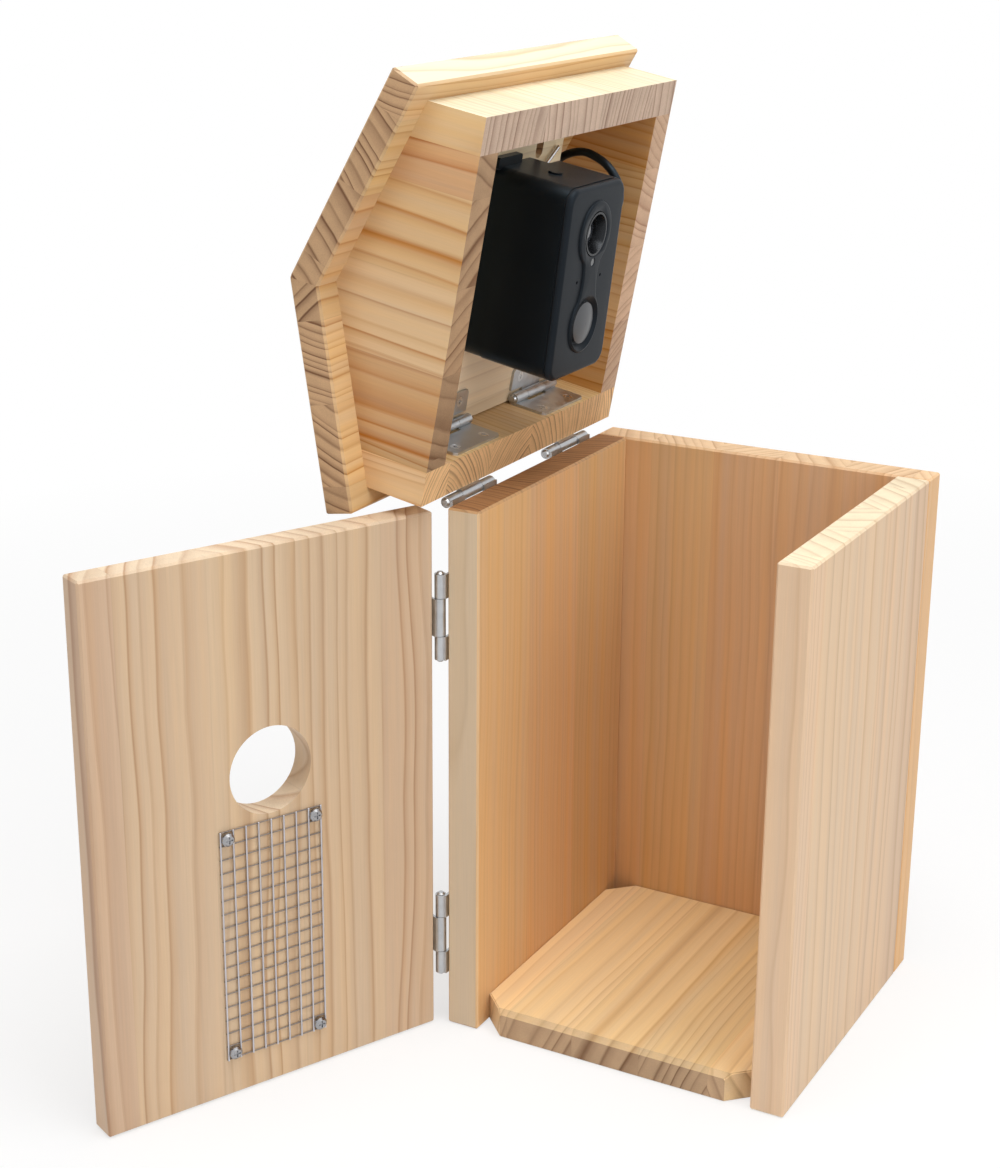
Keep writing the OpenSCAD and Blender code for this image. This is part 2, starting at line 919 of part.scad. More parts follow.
module face_figure() {
    translate([lens_x, 0])
        circle(lens_r + 4.6);
    translate([-window_x, 0])
        circle(window_r + window_groove + 0.6);
    difference() {
        translate([-window_x, -lens_r])
            square([window_x + lens_x, 2 * lens_r]);
        for (side = [-1, 1])
            translate([1, side * (waist_w / 2 + waist_r)])
                circle(waist_r);
    }
}

module camera_face()
    color(black_plastic)
        camera_frame()
            difference() {
                union() {
                    intersection() {
                        camera_prism(0, 0);
                        face_slab(-face_t, 0);
                    }
                    face_frame()
                        translate([0, 0, -relief_h])
                            linear_extrude(2 * relief_h)
                                face_figure();
                }
                face_frame() {
                    translate([lens_x, 0, -2 * face_t])
                        cylinder(r = lens_r, h = 4 * face_t);
                    translate([-window_x, 0, -2 * face_t])
                        cylinder(r = window_r + 0.15, h = 4 * face_t);
                    translate([-window_x, 0, 0])
                        cylinder(r1 = window_r + window_groove - relief_h, r2 = window_r + window_groove, h = relief_h + 0.01);
                    translate([sensor_x, 0, -2 * face_t])
                        cylinder(r = sensor_r + 0.1, h = 4 * face_t);
                    for (side = [-1, 1])
                        translate([mic_x, side * mic_y, -2 * face_t])
                            cylinder(r = 0.8, h = 4 * face_t);
                }
            }

module camera_screws()
    color(steel)
        roof_frame()
            camera_screw_sites()
                pan_screw(hatch_t + foot_d - 3.5);

// Round parts of the lens, drawn from a half profile
module lens_round()
    camera_frame()
        face_frame()
            translate([lens_x, 0, 0])
                children();

module lens_barrel()
    color(grey_plastic)
        lens_round()
            rotate_extrude()
                polygon([
                    [3, -barrel_l], [8, -barrel_l], [8, -5.6], [lens_r - 0.15, -5.6],
                    [lens_r - 0.15, -4.2], [6.2, -4.2], [6.2, -6], [3, -6]
                ]);

module lens_ring()
    color(steel)
        lens_round()
            rotate_extrude()
                polygon([
                    [lens_r - 0.15, -4.2], [lens_r - 0.15, relief_h], [lens_r - 1, relief_h],
                    [7.2, -2.6], [6.3, -2.6], [6.3, -4.2]
                ]);

module lens_glass()
    color([0.1, 0.12, 0.15, 0.6])
        lens_round()
            rotate_extrude()
                intersection() {
                    translate([0, -2.6 - 14])
                        circle(14.4);
                    translate([0, -4.15])
                        square([6.1, 4]);
                }

module lower_window()
    color(grey_plastic)
        camera_frame()
            face_frame()
                translate([-window_x, 0, -face_t])
                    rotate_extrude()
                        intersection() {
                            translate([0, face_t + 1.4 - 34])
                                circle(34);
                            square([window_r, face_t + 2]);
                        }

module light_sensor()
    color([0.6, 0.6, 0.62])
        camera_frame()
            face_frame()
                translate([sensor_x, 0, -face_t])
                    cylinder(r = sensor_r, h = face_t + relief_h - 0.3);

module circuit_board()
    color([0.05, 0.3, 0.15])
        camera_frame() {
            difference() {
                translate([0, 0, board_z])
                    linear_extrude(board_t)
                        round_rect(cam_l - 2 * cam_wall - 8, cam_w - 2 * cam_wall - 1, 2);
                translate([port_x, -cam_w / 2 + cam_wall + 3, board_z])
                    cube([12, 6, 4 * board_t], center = true);
            }
            translate([-22, -8, board_z + board_t])
                cube([14, 14, 1.2]);
            translate([-2, 6, board_z + board_t])
                cube([9, 7, 1]);
            translate([cam_l / 2 - cam_wall - 7.4, foot_shift - 2.5, board_z + board_t])
                cube([4, 5, 3]);
        }

module camera_button()
    color(black_plastic)
        camera_frame()
            translate([cam_l / 2, foot_shift, button_z])
                rotate([0, 90, 0]) {
                    translate([0, 0, -cam_wall - 0.4])
                        cylinder(d = button_d, h = cam_wall + 0.4 + button_travel + 0.2);
                    translate([0, 0, -cam_wall - 1.2])
                        cylinder(d = button_d + 2, h = 1);
                    translate([0, 0, -cam_wall - 2.4])
                        cylinder(d = 2, h = 1.4);
                }

// Battery case behind the hatch
module pack_outline(inset = 0)
    translate([pack_a, pack_y])
        round_rect(pack_w - 2 * inset, pack_l - 2 * inset, pack_r - inset);

module battery_case()
    color(black_plastic)
        roof_frame()
            difference() {
                translate([0, 0, pack_b])
                    union() {
                        linear_extrude(pack_h - pack_wall)
                            pack_outline();
                        for (side = [-1, 1])
                            translate([pack_a + side * (pack_w / 2 + pack_ear / 2 - 1), pack_y + side * pack_ear_y, 0])
                                linear_extrude(pack_ear_t)
                                    round_rect(pack_ear + 2, 10, 2);
                    }
                translate([0, 0, pack_b + pack_wall])
                    linear_extrude(pack_h)
                        pack_outline(pack_wall);
                battery_screw_sites()
                    shank_hole(pack_ear_t + cut);
                translate([pack_a, pack_y + pack_l / 2, plug_b])
                    cube([plug_tip[0] + 0.6, 2 * pack_wall + 1, plug_tip[2] + 0.6], center = true);
            }

module battery_lid()
    color(grey_plastic)
        roof_frame()
            translate([0, 0, pack_b + pack_h - pack_wall]) {
                linear_extrude(pack_wall)
                    pack_outline();
                translate([0, 0, -1])
                    linear_extrude(1.5)
                        pack_outline(pack_wall + 0.15);
            }

module battery_cell()
    color([0.55, 0.57, 0.6])
        roof_frame()
            translate([pack_a, pack_y - 5, pack_b + pack_wall])
                linear_extrude(pack_h - 2 * pack_wall - 1.6)
                    round_rect(pack_w - 2 * pack_wall - 2, pack_l - 2 * pack_wall - 14, 3);

module battery_screws()
    color(steel)
        roof_frame()
            battery_screw_sites()
                pan_screw(pack_ear_t + hatch_t - 3);

// Plugs and the lead between them
module plug_body()
    color(black_plastic) {
        translate([0, plug_l, 0])
            rotate([90, 0, 0])
                linear_extrude(plug_l - 0.2)
                    round_rect(plug_w, plug_t, 2);
        translate([-plug_tip[0] / 2, 0.4 - plug_tip[1], -plug_tip[2] / 2])
            cube(plug_tip);
    }

module camera_plug()
    roof_frame()
        translate([cam_a + port_x, cam_y + cam_w / 2, hatch_b - port_z])
            plug_body();

module battery_plug()
    roof_frame()
        translate([pack_a, pack_y + pack_l / 2, plug_b])
            plug_body();

function spline(p, i, t) =
    let (a = p[max(i - 1, 0)], b = p[i], c = p[i + 1], d = p[min(i + 2, len(p) - 1)])
    0.5 * (2 * b + t * (c - a) + t * t * (2 * a - 5 * b + 4 * c - d) + t * t * t * (3 * (b - c) + d - a));
function sweep_points(p) = [
    for (i = [0:len(p) - 2])
        let (steps = max(1, round(norm(p[i + 1] - p[i]) / lead_step)))
            for (k = [0:steps - 1]) spline(p, i, k / steps),
    p[len(p) - 1]
];
function heading(p, i) =
    let (v = i == 0 || i == len(p) - 1 ? [0, i == 0 ? 1 : -1, 0] : p[i + 1] - p[i - 1]) v / norm(v);
function carried(up, t) = let (v = up - (up * t) * t) v / norm(v);
function ups(p, i = 0, up = [0, 0, 1], out = []) =
    i == len(p) ? out : let (u = carried(up, heading(p, i))) ups(p, i + 1, u, concat(out, [u]));

module tube(p, d, sides) {
    u = ups(p);
    rings = [
        for (i = [0:len(p) - 1])
            let (w = cross(heading(p, i), u[i]))
                for (k = [0:sides - 1]) p[i] + d / 2 * (cos(360 * k / sides) * u[i] + sin(360 * k / sides) * w)
    ];
    n = len(p);
    polyhedron(rings, concat(
        [[for (k = [0:sides - 1]) k]],
        [for (i = [0:n - 2], k = [0:sides - 1])
            [i * sides + k, (i + 1) * sides + k, (i + 1) * sides + (k + 1) % sides, i * sides + (k + 1) % sides]],
        [[for (k = [sides - 1:-1:0]) (n - 1) * sides + k]]
    ));
}

module lead()
    color(black_plastic)
        roof_frame()
            tube(sweep_points(lead_route), lead_d, 10);

back_panel();
left_wall();
right_wall();
floor_board();
box_dowels();
wall_hinge_screws();
door_hinge_at(door_hinge_high) wall_side() hinge_leaf(true, outer_leaf_w, outer_offset);  // door_hinge_upper_wall_leaf
door_hinge_at(door_hinge_low) wall_side() hinge_leaf(true, outer_leaf_w, outer_offset);  // door_hinge_lower_wall_leaf
door_hinge_at(door_hinge_high) hinge_pin();  // door_hinge_upper_pin
door_hinge_at(door_hinge_low) hinge_pin();  // door_hinge_lower_pin
roof_hinge_at(roof_hinge_front) wall_side() hinge_leaf(true, outer_leaf_w, outer_offset);  // roof_hinge_front_wall_leaf
roof_hinge_at(roof_hinge_rear) wall_side() hinge_leaf(true, outer_leaf_w, outer_offset);  // roof_hinge_rear_wall_leaf
roof_hinge_at(roof_hinge_front) hinge_pin();  // roof_hinge_front_pin
roof_hinge_at(roof_hinge_rear) hinge_pin();  // roof_hinge_rear_pin
front_door();
ladder_mesh();
mesh_screws();
door_hinge_at(door_hinge_high) moving_side(door_open) hinge_leaf(false, outer_leaf_w, outer_offset);  // door_hinge_upper_door_leaf
door_hinge_at(door_hinge_low) moving_side(door_open) hinge_leaf(false, outer_leaf_w, outer_offset);  // door_hinge_lower_door_leaf
door_hinge_screws();
roof_left_side();
roof_right_side();
roof_front_gable();
roof_rear_gable();
roof_left_board();
roof_right_board();
roof_dowels();
roof_hinge_at(roof_hinge_front) moving_side(roof_open) hinge_leaf(false, outer_leaf_w, outer_offset);  // roof_hinge_front_roof_leaf
roof_hinge_at(roof_hinge_rear) moving_side(roof_open) hinge_leaf(false, outer_leaf_w, outer_offset);  // roof_hinge_rear_roof_leaf
roof_hinge_screws();
hatch_hinge_at(hatch_hinge_front) rotate([0, 0, 90]) hinge_leaf(true, side_leaf_w, hatch_offset);  // hatch_hinge_front_side_leaf
hatch_hinge_at(hatch_hinge_rear) rotate([0, 0, 90]) hinge_leaf(true, side_leaf_w, hatch_offset);  // hatch_hinge_rear_side_leaf
hatch_hinge_at(hatch_hinge_front) hinge_pin();  // hatch_hinge_front_pin
hatch_hinge_at(hatch_hinge_rear) hinge_pin();  // hatch_hinge_rear_pin
hatch_plate();
hatch_hinge_at(hatch_hinge_front) mirror([0, 1, 0]) hinge_leaf(false, plate_leaf_w, hatch_offset);  // hatch_hinge_front_plate_leaf
hatch_hinge_at(hatch_hinge_rear) mirror([0, 1, 0]) hinge_leaf(false, plate_leaf_w, hatch_offset);  // hatch_hinge_rear_plate_leaf
hatch_hinge_screws();
turn_catch();
camera_foot();
camera_shell();
camera_seal();
camera_face();
camera_screws();
circuit_board();
lens_barrel();
lens_ring();
lens_glass();
lower_window();
light_sensor();
camera_button();
battery_case();
battery_lid();
battery_cell();
battery_screws();
camera_plug();
battery_plug();
lead();
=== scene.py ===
"""Looks of the smart nest box: materials, detail pieces, lights and camera around the CAD frame."""

import logging
import math
from collections.abc import Callable, Iterable, Sequence
from dataclasses import dataclass, field
from enum import Enum

import bmesh
import bpy
from mathutils import Matrix, Vector

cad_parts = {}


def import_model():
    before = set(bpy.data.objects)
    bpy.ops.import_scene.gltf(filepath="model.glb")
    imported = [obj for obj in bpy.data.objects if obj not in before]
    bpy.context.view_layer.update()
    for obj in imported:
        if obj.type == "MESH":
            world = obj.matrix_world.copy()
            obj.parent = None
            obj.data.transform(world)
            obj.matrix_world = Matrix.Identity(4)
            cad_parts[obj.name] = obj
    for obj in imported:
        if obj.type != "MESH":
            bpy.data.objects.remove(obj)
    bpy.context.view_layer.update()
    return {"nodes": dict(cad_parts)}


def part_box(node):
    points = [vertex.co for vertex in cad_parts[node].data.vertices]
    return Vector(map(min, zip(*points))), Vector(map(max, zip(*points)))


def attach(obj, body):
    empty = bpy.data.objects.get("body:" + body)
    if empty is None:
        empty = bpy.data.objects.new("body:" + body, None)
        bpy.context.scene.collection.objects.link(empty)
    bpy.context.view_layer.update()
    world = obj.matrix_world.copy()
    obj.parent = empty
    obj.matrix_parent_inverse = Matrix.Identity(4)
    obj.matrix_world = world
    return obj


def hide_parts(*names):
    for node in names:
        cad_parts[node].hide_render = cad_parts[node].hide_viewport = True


LOG = logging.getLogger("nest_box")
MM = 0.001

Colour = tuple[float, float, float]
Point2 = tuple[float, float]
Skin = tuple[list[Vector], list[list[int]]]
Socket = bpy.types.NodeSocket

SMOOTH_BELOW = math.radians(38)
WIRE_SIDES = 10
WIRE_CAP_LENGTH, WIRE_CAP_WIDTH = 0.35, 0.7


class Body(str, Enum):
    """Rigid bodies that carry a piece of this scene."""

    BOX = "box"
    DOOR = "door"
    HATCH = "hatch"


class Group(str, Enum):
    """Shader node groups that several materials share."""

    RINGS = "growth_rings"
    FLECK = "moulded_fleck"
    BRUSH = "brushed_lines"


# Shader building


class NodeDesk:
    """Places and joins shader nodes in one node tree."""

    def __init__(self, tree: bpy.types.NodeTree) -> None:
        """Takes the tree to work in.

        Args:
            tree: a material's or group's node tree.
        """
        self.tree = tree

    def put(self, kind: str, inputs: dict | None = None, **settings: object) -> bpy.types.Node:
        """Adds a node, sets its properties and fills its sockets.

        Args:
            kind: the node's Blender type name.
            inputs: socket name or number to a value or an output socket.
            settings: properties of the node itself.

        Returns:
            The new node.
        """
        node = self.tree.nodes.new(kind)
        for key, value in settings.items():
            setattr(node, key, value)
        for key, value in (inputs or {}).items():
            self.feed(node.inputs[key], value)
        return node

    def feed(self, socket: Socket, value: object) -> None:
        """Links an output socket to an input, or sets the input's value.

        Args:
            socket: the input socket.
            value: an output socket, a number, or a colour or vector.
        """
        if isinstance(value, Socket):
            self.tree.links.new(value, socket)
        elif isinstance(value, tuple) and socket.type == "RGBA" and len(value) == 3:
            socket.default_value = (*value, 1.0)
        else:
            socket.default_value = value

    def math(self, operation: str, *values: object, clamp: bool = False) -> Socket:
        """Adds a Math node.

        Args:
            operation: the node's operation.
            values: its inputs in order.
            clamp: whether the result stays between 0 and 1.

        Returns:
            The result socket.
        """
        inputs = dict(enumerate(values))
        return self.put("ShaderNodeMath", inputs, operation=operation, use_clamp=clamp).outputs[0]

    def times(self, first: object, second: object) -> Socket:
        """Returns the product of two values."""
        return self.math("MULTIPLY", first, second)

    def plus(self, first: object, second: object) -> Socket:
        """Returns the sum of two values."""
        return self.math("ADD", first, second)

    def less(self, first: object, second: object) -> Socket:
        """Returns the first value less the second."""
        return self.math("SUBTRACT", first, second)

    def scaled(self, value: object, factor: object, base: object) -> Socket:
        """Returns a value times a factor, plus a base."""
        return self.math("MULTIPLY_ADD", value, factor, base)

    def vary(self, value: object, amount: object, base: object = 1.0) -> Socket:
        """Returns a base that a value from 0 to 1 moves by half an amount either way."""
        return self.scaled(self.less(value, 0.5), amount, base)

    def vector(self, operation: str, *values: object) -> bpy.types.Node:
        """Adds a Vector Math node and returns it, because some operations give a value."""
        return self.put("ShaderNodeVectorMath", dict(enumerate(values)), operation=operation)

    def split(self, vector: Socket) -> Sequence[Socket]:
        """Returns the X, Y and Z sockets of a vector."""
        return self.put("ShaderNodeSeparateXYZ", {0: vector}).outputs

    def join(self, x: object = 0.0, y: object = 0.0, z: object = 0.0) -> Socket:
        """Returns the vector socket made of three values."""
        return self.put("ShaderNodeCombineXYZ", {0: x, 1: y, 2: z}).outputs[0]

    def noise(self, vector: object, scale: object, detail: float, rough: float = 0.5) -> Socket:
        """Adds a noise texture.

        Args:
            vector: where it is read.
            scale: its scale.
            detail: its octaves.
            rough: the strength of the finer octaves.

        Returns:
            The value socket, about 0.5 on average.
        """
        inputs = {"Vector": vector, "Scale": scale, "Detail": detail, "Roughness": rough}
        return self.put("ShaderNodeTexNoise", inputs).outputs[0]

    def dice(self, x: object, y: object) -> Sequence[Socket]:
        """Returns three random sockets that depend on two values."""
        node = self.put("ShaderNodeTexWhiteNoise", {"Vector": self.join(x, y)}, noise_dimensions="3D")
        return self.put("ShaderNodeSeparateColor", {0: node.outputs["Color"]}).outputs

    def ramp(self, value: object, stops: Sequence[Point2]) -> Socket:
        """Adds a grey ramp.

        Args:
            value: the input.
            stops: pairs of place and grey.

        Returns:
            The ramp's grey.
        """
        node = self.put("ShaderNodeValToRGB", {0: value})
        marks = node.color_ramp.elements
        while len(marks) < len(stops):
            marks.new(0.5)
        for mark, (place, grey) in zip(marks, stops):
            mark.position = place
            mark.color = (grey, grey, grey, 1.0)
        return self.put("ShaderNodeSeparateColor", {0: node.outputs[0]}).outputs[0]

    def span(
        self, value: object, low: float, high: float, to_low: float = 0.0, to_high: float = 1.0
    ) -> Socket:
        """Adds a clamped Map Range node.

        Args:
            value: the input.
            low: input that gives to_low.
            high: input that gives to_high.
            to_low: lowest result.
            to_high: highest result.

        Returns:
            The result socket.
        """
        inputs = {0: value, 1: low, 2: high, 3: to_low, 4: to_high}
        return self.put("ShaderNodeMapRange", inputs).outputs[0]

    def blend(self, factor: object, first: object, second: object) -> Socket:
        """Adds a colour Mix node.

        Args:
            factor: how much of the second colour.
            first: the first colour.
            second: the second colour.

        Returns:
            The mixed colour.
        """
        node = self.put("ShaderNodeMix", data_type="RGBA")
        for key, value in ((0, factor), (6, first), (7, second)):
            self.feed(node.inputs[key], value)
        return node.outputs[2]

    def recolour(
        self, colour: object, light: object, hue: object = 0.5, strength: object = 1.0
    ) -> Socket:
        """Adds a Hue, Saturation and Value node.

        Args:
            colour: what is changed.
            light: factor of its value.
            hue: its hue, where 0.5 leaves it as it is.
            strength: factor of its saturation.

        Returns:
            The changed colour.
        """
        inputs = {"Color": colour, "Hue": hue, "Saturation": strength, "Value": light}
        return self.put("ShaderNodeHueSaturation", inputs).outputs[0]


def new_group(
    name: Group, floats: Sequence[str], colours: Sequence[str]
) -> tuple[NodeDesk, Sequence[Socket], Sequence[Socket]]:
    """Starts a shader node group that reads a place and puts out colour, roughness and height.

    Args:
        name: the group's name.
        floats: names of its number inputs.
        colours: names of its colour inputs.

    Returns:
        The desk for its tree, its input node's outputs and its output node's inputs.
    """
    tree = bpy.data.node_groups.new(name.value, "ShaderNodeTree")
    sockets = [("INPUT", "Vector", "Vector")]
    sockets += [("INPUT", label, "Float") for label in floats]
    sockets += [("INPUT", label, "Color") for label in colours]
    sockets += [
        ("OUTPUT", "Color", "Color"), ("OUTPUT", "Roughness", "Float"), ("OUTPUT", "Height", "Float")]
    for side, label, kind in sockets:
        tree.interface.new_socket(name=label, in_out=side, socket_type=f"NodeSocket{kind}")
    desk = NodeDesk(tree)
    return desk, desk.put("NodeGroupInput").outputs, desk.put("NodeGroupOutput").inputs


# Numbers that all wood shares: metres, cycles in a metre, or shares. A range holds how much a
# random value adds, then the least value
SEED_STEP, SECOND_DRAW = 3.17, 41.7
PITH_RANGE = (0.9, 0.55)
GRAIN_TILT = 0.045
WAVE_ALONG, WAVE_BY_STRIP, WAVE_WIDTH = 7.0, 5.3, 0.011
WARP_ACROSS, WARP_ALONG, WARP_WIDTH = 42.0, 9.0, 0.0034
WIDTH_RANGE = (0.8, 0.6)
UNEVEN_SCALE, UNEVEN_RINGS = 0.45, 2.6
RING_PROFILE = ((0.0, 0.45), (0.07, 0.0), (0.45, 0.06), (0.80, 0.42), (0.94, 1.0), (1.0, 0.45))
BOLD_RANGE = (0.65, 0.35)
FIBRE_ACROSS, FIBRE_ALONG, FIBRE_ROUGH = 1500.0, 28.0, 0.6
STREAK_ACROSS, STREAK_ALONG = 150.0, 4.0
PORE_SCALE = 2600.0
# Painted shade: the farther a strip lies from the board's middle, the darker, redder and stronger its
# colour
PAINTED_SHADE_SPAN = (0.016, 0.044)
PAINTED_SHADE_LIGHT, PAINTED_SHADE_HUE, PAINTED_SHADE_STRENGTH = -0.20, -0.012, 0.14
STRIP_LIGHT, STREAK_LIGHT, FIBRE_LIGHT, PORE_LIGHT = 0.16, 0.22, 0.16, 0.30
SEAM_SPAN, SEAM_LIGHT = (0.00005, 0.0003), 0.94
STRIP_HUE, MIDDLE_HUE = 0.012, 0.501
STREAK_STRENGTH = 0.35
ROUGH_RANGE, END_ROUGH = (0.16, 0.42), 0.2
RING_RELIEF, FIBRE_RELIEF, PORE_RELIEF = 0.5, 0.5, 0.9
WOOD_RELIEF, WOOD_SPECULAR = 0.06 * MM, 0.35
# The second span picks the faces turned to a board's lit side, which take paler colours: painted light
END_SPAN, PAINTED_LIGHT_SPAN = (0.55, 0.85), (0.65, 0.90)


def build_ring_group() -> None:
    """Builds the wood group: growth rings in glued strips, seen the same way from every side.

    Its vector is in metres in the board's own directions: across the strips, through the board
    and along the grain.
    """
    desk, given, made = new_group(
        Group.RINGS,
        ("End", "Seed", "Strip", "Ring", "Pith", "Lean", "Swing", "Wander", "Contrast", "End Contrast",
         "Painted Edge Shade"),
        ("Early", "Late", "End Early", "End Late"),
    )
    x, y, z = desk.split(given["Vector"])
    seed, wide, wander = given["Seed"], given["Strip"], given["Wander"]

    def stretched(across: float, along: Socket) -> Socket:
        """Returns the place in the board, scaled across the grain, with a given value along it."""
        return desk.join(desk.times(x, across), desk.times(y, across), along)

    place = desk.plus(desk.math("DIVIDE", x, wide), desk.times(seed, SEED_STEP))
    strip = desk.math("FLOOR", place)
    inside = desk.less(desk.math("FRACT", place), 0.5)
    turn, reach, lean = desk.dice(strip, seed)
    width, tone, warmth = desk.dice(strip, desk.plus(seed, SECOND_DRAW))

    # The tree's centre, seen from the strip
    aside = desk.less(turn, 0.5)
    lean_to = desk.times(desk.math("SIGN", aside), given["Lean"])
    angle = desk.scaled(aside, given["Swing"], lean_to)
    far = desk.times(given["Pith"], desk.scaled(reach, *PITH_RANGE))
    tilt = desk.times(desk.less(lean, 0.5), GRAIN_TILT)
    wave_at = desk.join(desk.times(z, WAVE_ALONG), desk.times(strip, WAVE_BY_STRIP), seed)
    wave = desk.noise(wave_at, 1.0, 1.0)
    sway = desk.times(desk.less(wave, 0.5), desk.times(wander, WAVE_WIDTH))
    side = desk.less(desk.times(inside, wide), desk.times(desk.math("SINE", angle), far))
    side = desk.plus(desk.plus(side, sway), desk.times(z, tilt))
    deep = desk.less(y, desk.times(desk.math("COSINE", angle), far))
    radius = desk.math("SQRT", desk.plus(desk.times(side, side), desk.times(deep, deep)))
    warp = desk.noise(stretched(WARP_ACROSS, desk.scaled(z, WARP_ALONG, seed)), 1.0, 2.0)
    radius = desk.vary(warp, desk.times(wander, WARP_WIDTH), radius)

    # Rings, each with its own width and strength
    spacing = desk.times(given["Ring"], desk.scaled(width, *WIDTH_RANGE))
    count = desk.math("DIVIDE", radius, spacing)
    uneven = desk.noise(desk.join(desk.times(count, UNEVEN_SCALE), strip, seed), 1.0, 1.0)
    count = desk.scaled(uneven, UNEVEN_RINGS, count)
    growth = desk.math("FRACT", count)
    bold = desk.dice(desk.math("FLOOR", count), strip)[0]
    ring = desk.times(desk.ramp(growth, RING_PROFILE), desk.scaled(bold, *BOLD_RANGE))

    # Light and dark: fibres, streaks, painted shade on the outer strips, strips and glued seams
    fibre = desk.noise(stretched(FIBRE_ACROSS, desk.times(z, FIBRE_ALONG)), 1.0, 3.0, FIBRE_ROUGH)
    streak = desk.noise(stretched(STREAK_ACROSS, desk.scaled(z, STREAK_ALONG, seed)), 1.0, 2.0)
    strip_at = desk.math("ABSOLUTE", desk.less(x, desk.times(inside, wide)))
    heart = desk.times(desk.span(strip_at, *PAINTED_SHADE_SPAN), given["Painted Edge Shade"])
    light = desk.vary(tone, STRIP_LIGHT, desk.scaled(heart, PAINTED_SHADE_LIGHT, 1.0))
    light = desk.vary(streak, STREAK_LIGHT, light)
    light = desk.vary(fibre, FIBRE_LIGHT, light)
    seam = desk.times(desk.less(0.5, desk.math("ABSOLUTE", inside)), wide)
    light = desk.times(light, desk.span(seam, *SEAM_SPAN, SEAM_LIGHT))

    # Long faces and end grain
    long_ring = desk.math("MULTIPLY", ring, given["Contrast"], clamp=True)
    hue = desk.vary(warmth, STRIP_HUE, desk.scaled(heart, PAINTED_SHADE_HUE, MIDDLE_HUE))
    strength = desk.vary(streak, STREAK_STRENGTH, desk.scaled(heart, PAINTED_SHADE_STRENGTH, 1.0))
    long_colour = desk.blend(long_ring, given["Early"], given["Late"])
    long_face = desk.recolour(long_colour, light, hue, strength)
    pores = desk.noise(given["Vector"], PORE_SCALE, 1.0)
    end_ring = desk.math("MULTIPLY", ring, given["End Contrast"], clamp=True)
    end_colour = desk.blend(end_ring, given["End Early"], given["End Late"])
    end_face = desk.recolour(end_colour, desk.vary(pores, PORE_LIGHT, light))
    desk.feed(made["Color"], desk.blend(given["End"], long_face, end_face))
    rough = desk.scaled(fibre, *ROUGH_RANGE)
    desk.feed(made["Roughness"], desk.plus(rough, desk.times(given["End"], END_ROUGH)))
    relief = desk.scaled(ring, RING_RELIEF, desk.times(fibre, FIBRE_RELIEF))
    desk.feed(made["Height"], desk.scaled(given["End"], desk.times(pores, PORE_RELIEF), relief))


def build_fleck_group() -> None:
    """Builds the moulded surface group: a fine grain with slow tone changes."""
    slow_scale, slow_rough, fine_rough, mean_rough = 60.0, 0.12, 0.10, 0.11
    desk, given, made = new_group(Group.FLECK, ("Grain", "Shift", "Gloss"), ("Tone",))
    fine = desk.noise(given["Vector"], given["Grain"], 2.0)
    slow = desk.noise(given["Vector"], slow_scale, 2.0)
    desk.feed(made["Color"], desk.recolour(given["Tone"], desk.vary(slow, given["Shift"])))
    smear = desk.scaled(slow, slow_rough, desk.times(fine, fine_rough))
    desk.feed(made["Roughness"], desk.plus(given["Gloss"], desk.less(smear, mean_rough)))
    desk.feed(made["Height"], fine)


def build_brush_group() -> None:
    """Builds the rolled metal group: fine lines along one direction, with dull patches."""
    line_scale, line_rough = (2600.0, 2600.0, 140.0), 0.10
    dull_scale, dull_span, worn_share = 210.0, (0.35, 0.75), 0.5
    desk, given, made = new_group(Group.BRUSH, ("Gloss", "Wear"), ("Tone",))
    lines = desk.noise(desk.vector("MULTIPLY", given["Vector"], line_scale).outputs[0], 1.0, 2.0)
    dull = desk.noise(given["Vector"], dull_scale, 3.0, 0.6)
    desk.feed(made["Color"], desk.recolour(given["Tone"], desk.vary(dull, given["Wear"])))
    worn = desk.times(desk.span(dull, *dull_span), desk.times(given["Wear"], worn_share))
    gloss = desk.plus(given["Gloss"], desk.scaled(lines, line_rough, worn))
    desk.feed(made["Roughness"], desk.less(gloss, line_rough / 2))
    desk.feed(made["Height"], lines)


# Finishes


def new_material(name: str) -> tuple[bpy.types.Material, NodeDesk, bpy.types.Node]:
    """Starts a material that holds one Principled BSDF.

    Args:
        name: the material's name.

    Returns:
        The material, the desk for its tree and the Principled node.
    """
    material = bpy.data.materials.new(name)
    material.use_nodes = True
    desk = NodeDesk(material.node_tree)
    return material, desk, material.node_tree.nodes["Principled BSDF"]


def place_group(desk: NodeDesk, group: Group, inputs: dict) -> Sequence[Socket]:
    """Places a shared group in a material.

    Args:
        desk: the material's desk.
        group: which group.
        inputs: its socket values.

    Returns:
        The group's output sockets.
    """
    node = desk.put("ShaderNodeGroup", node_tree=bpy.data.node_groups[group.value])
    for key, value in inputs.items():
        desk.feed(node.inputs[key], value)
    return node.outputs


def wire_surface(desk: NodeDesk, shader: bpy.types.Node, outputs: Sequence, depth: float) -> None:
    """Joins a group's colour, roughness and height to the Principled node.

    Args:
        desk: the material's desk.
        shader: the Principled node.
        outputs: the group's outputs.
        depth: depth of the relief in metres.
    """
    desk.feed(shader.inputs["Base Color"], outputs["Color"])
    desk.feed(shader.inputs["Roughness"], outputs["Roughness"])
    inputs = {"Height": outputs["Height"], "Distance": depth, "Strength": 1.0}
    desk.feed(shader.inputs["Normal"], desk.put("ShaderNodeBump", inputs).outputs[0])


@dataclass(frozen=True)
class BoardAxes:
    """A board's directions: across its strips, along its grain, and out of its side that takes painted
    light.
    """

    across: Vector
    grain: Vector
    painted_light_side: Vector = field(default_factory=Vector)

    def turn(self) -> tuple[float, float, float]:
        """Returns the Euler angles that carry the board's own axes to these directions."""
        through = self.grain.cross(self.across)
        return tuple(Matrix((self.across, through, self.grain)).transposed().to_euler("XYZ"))


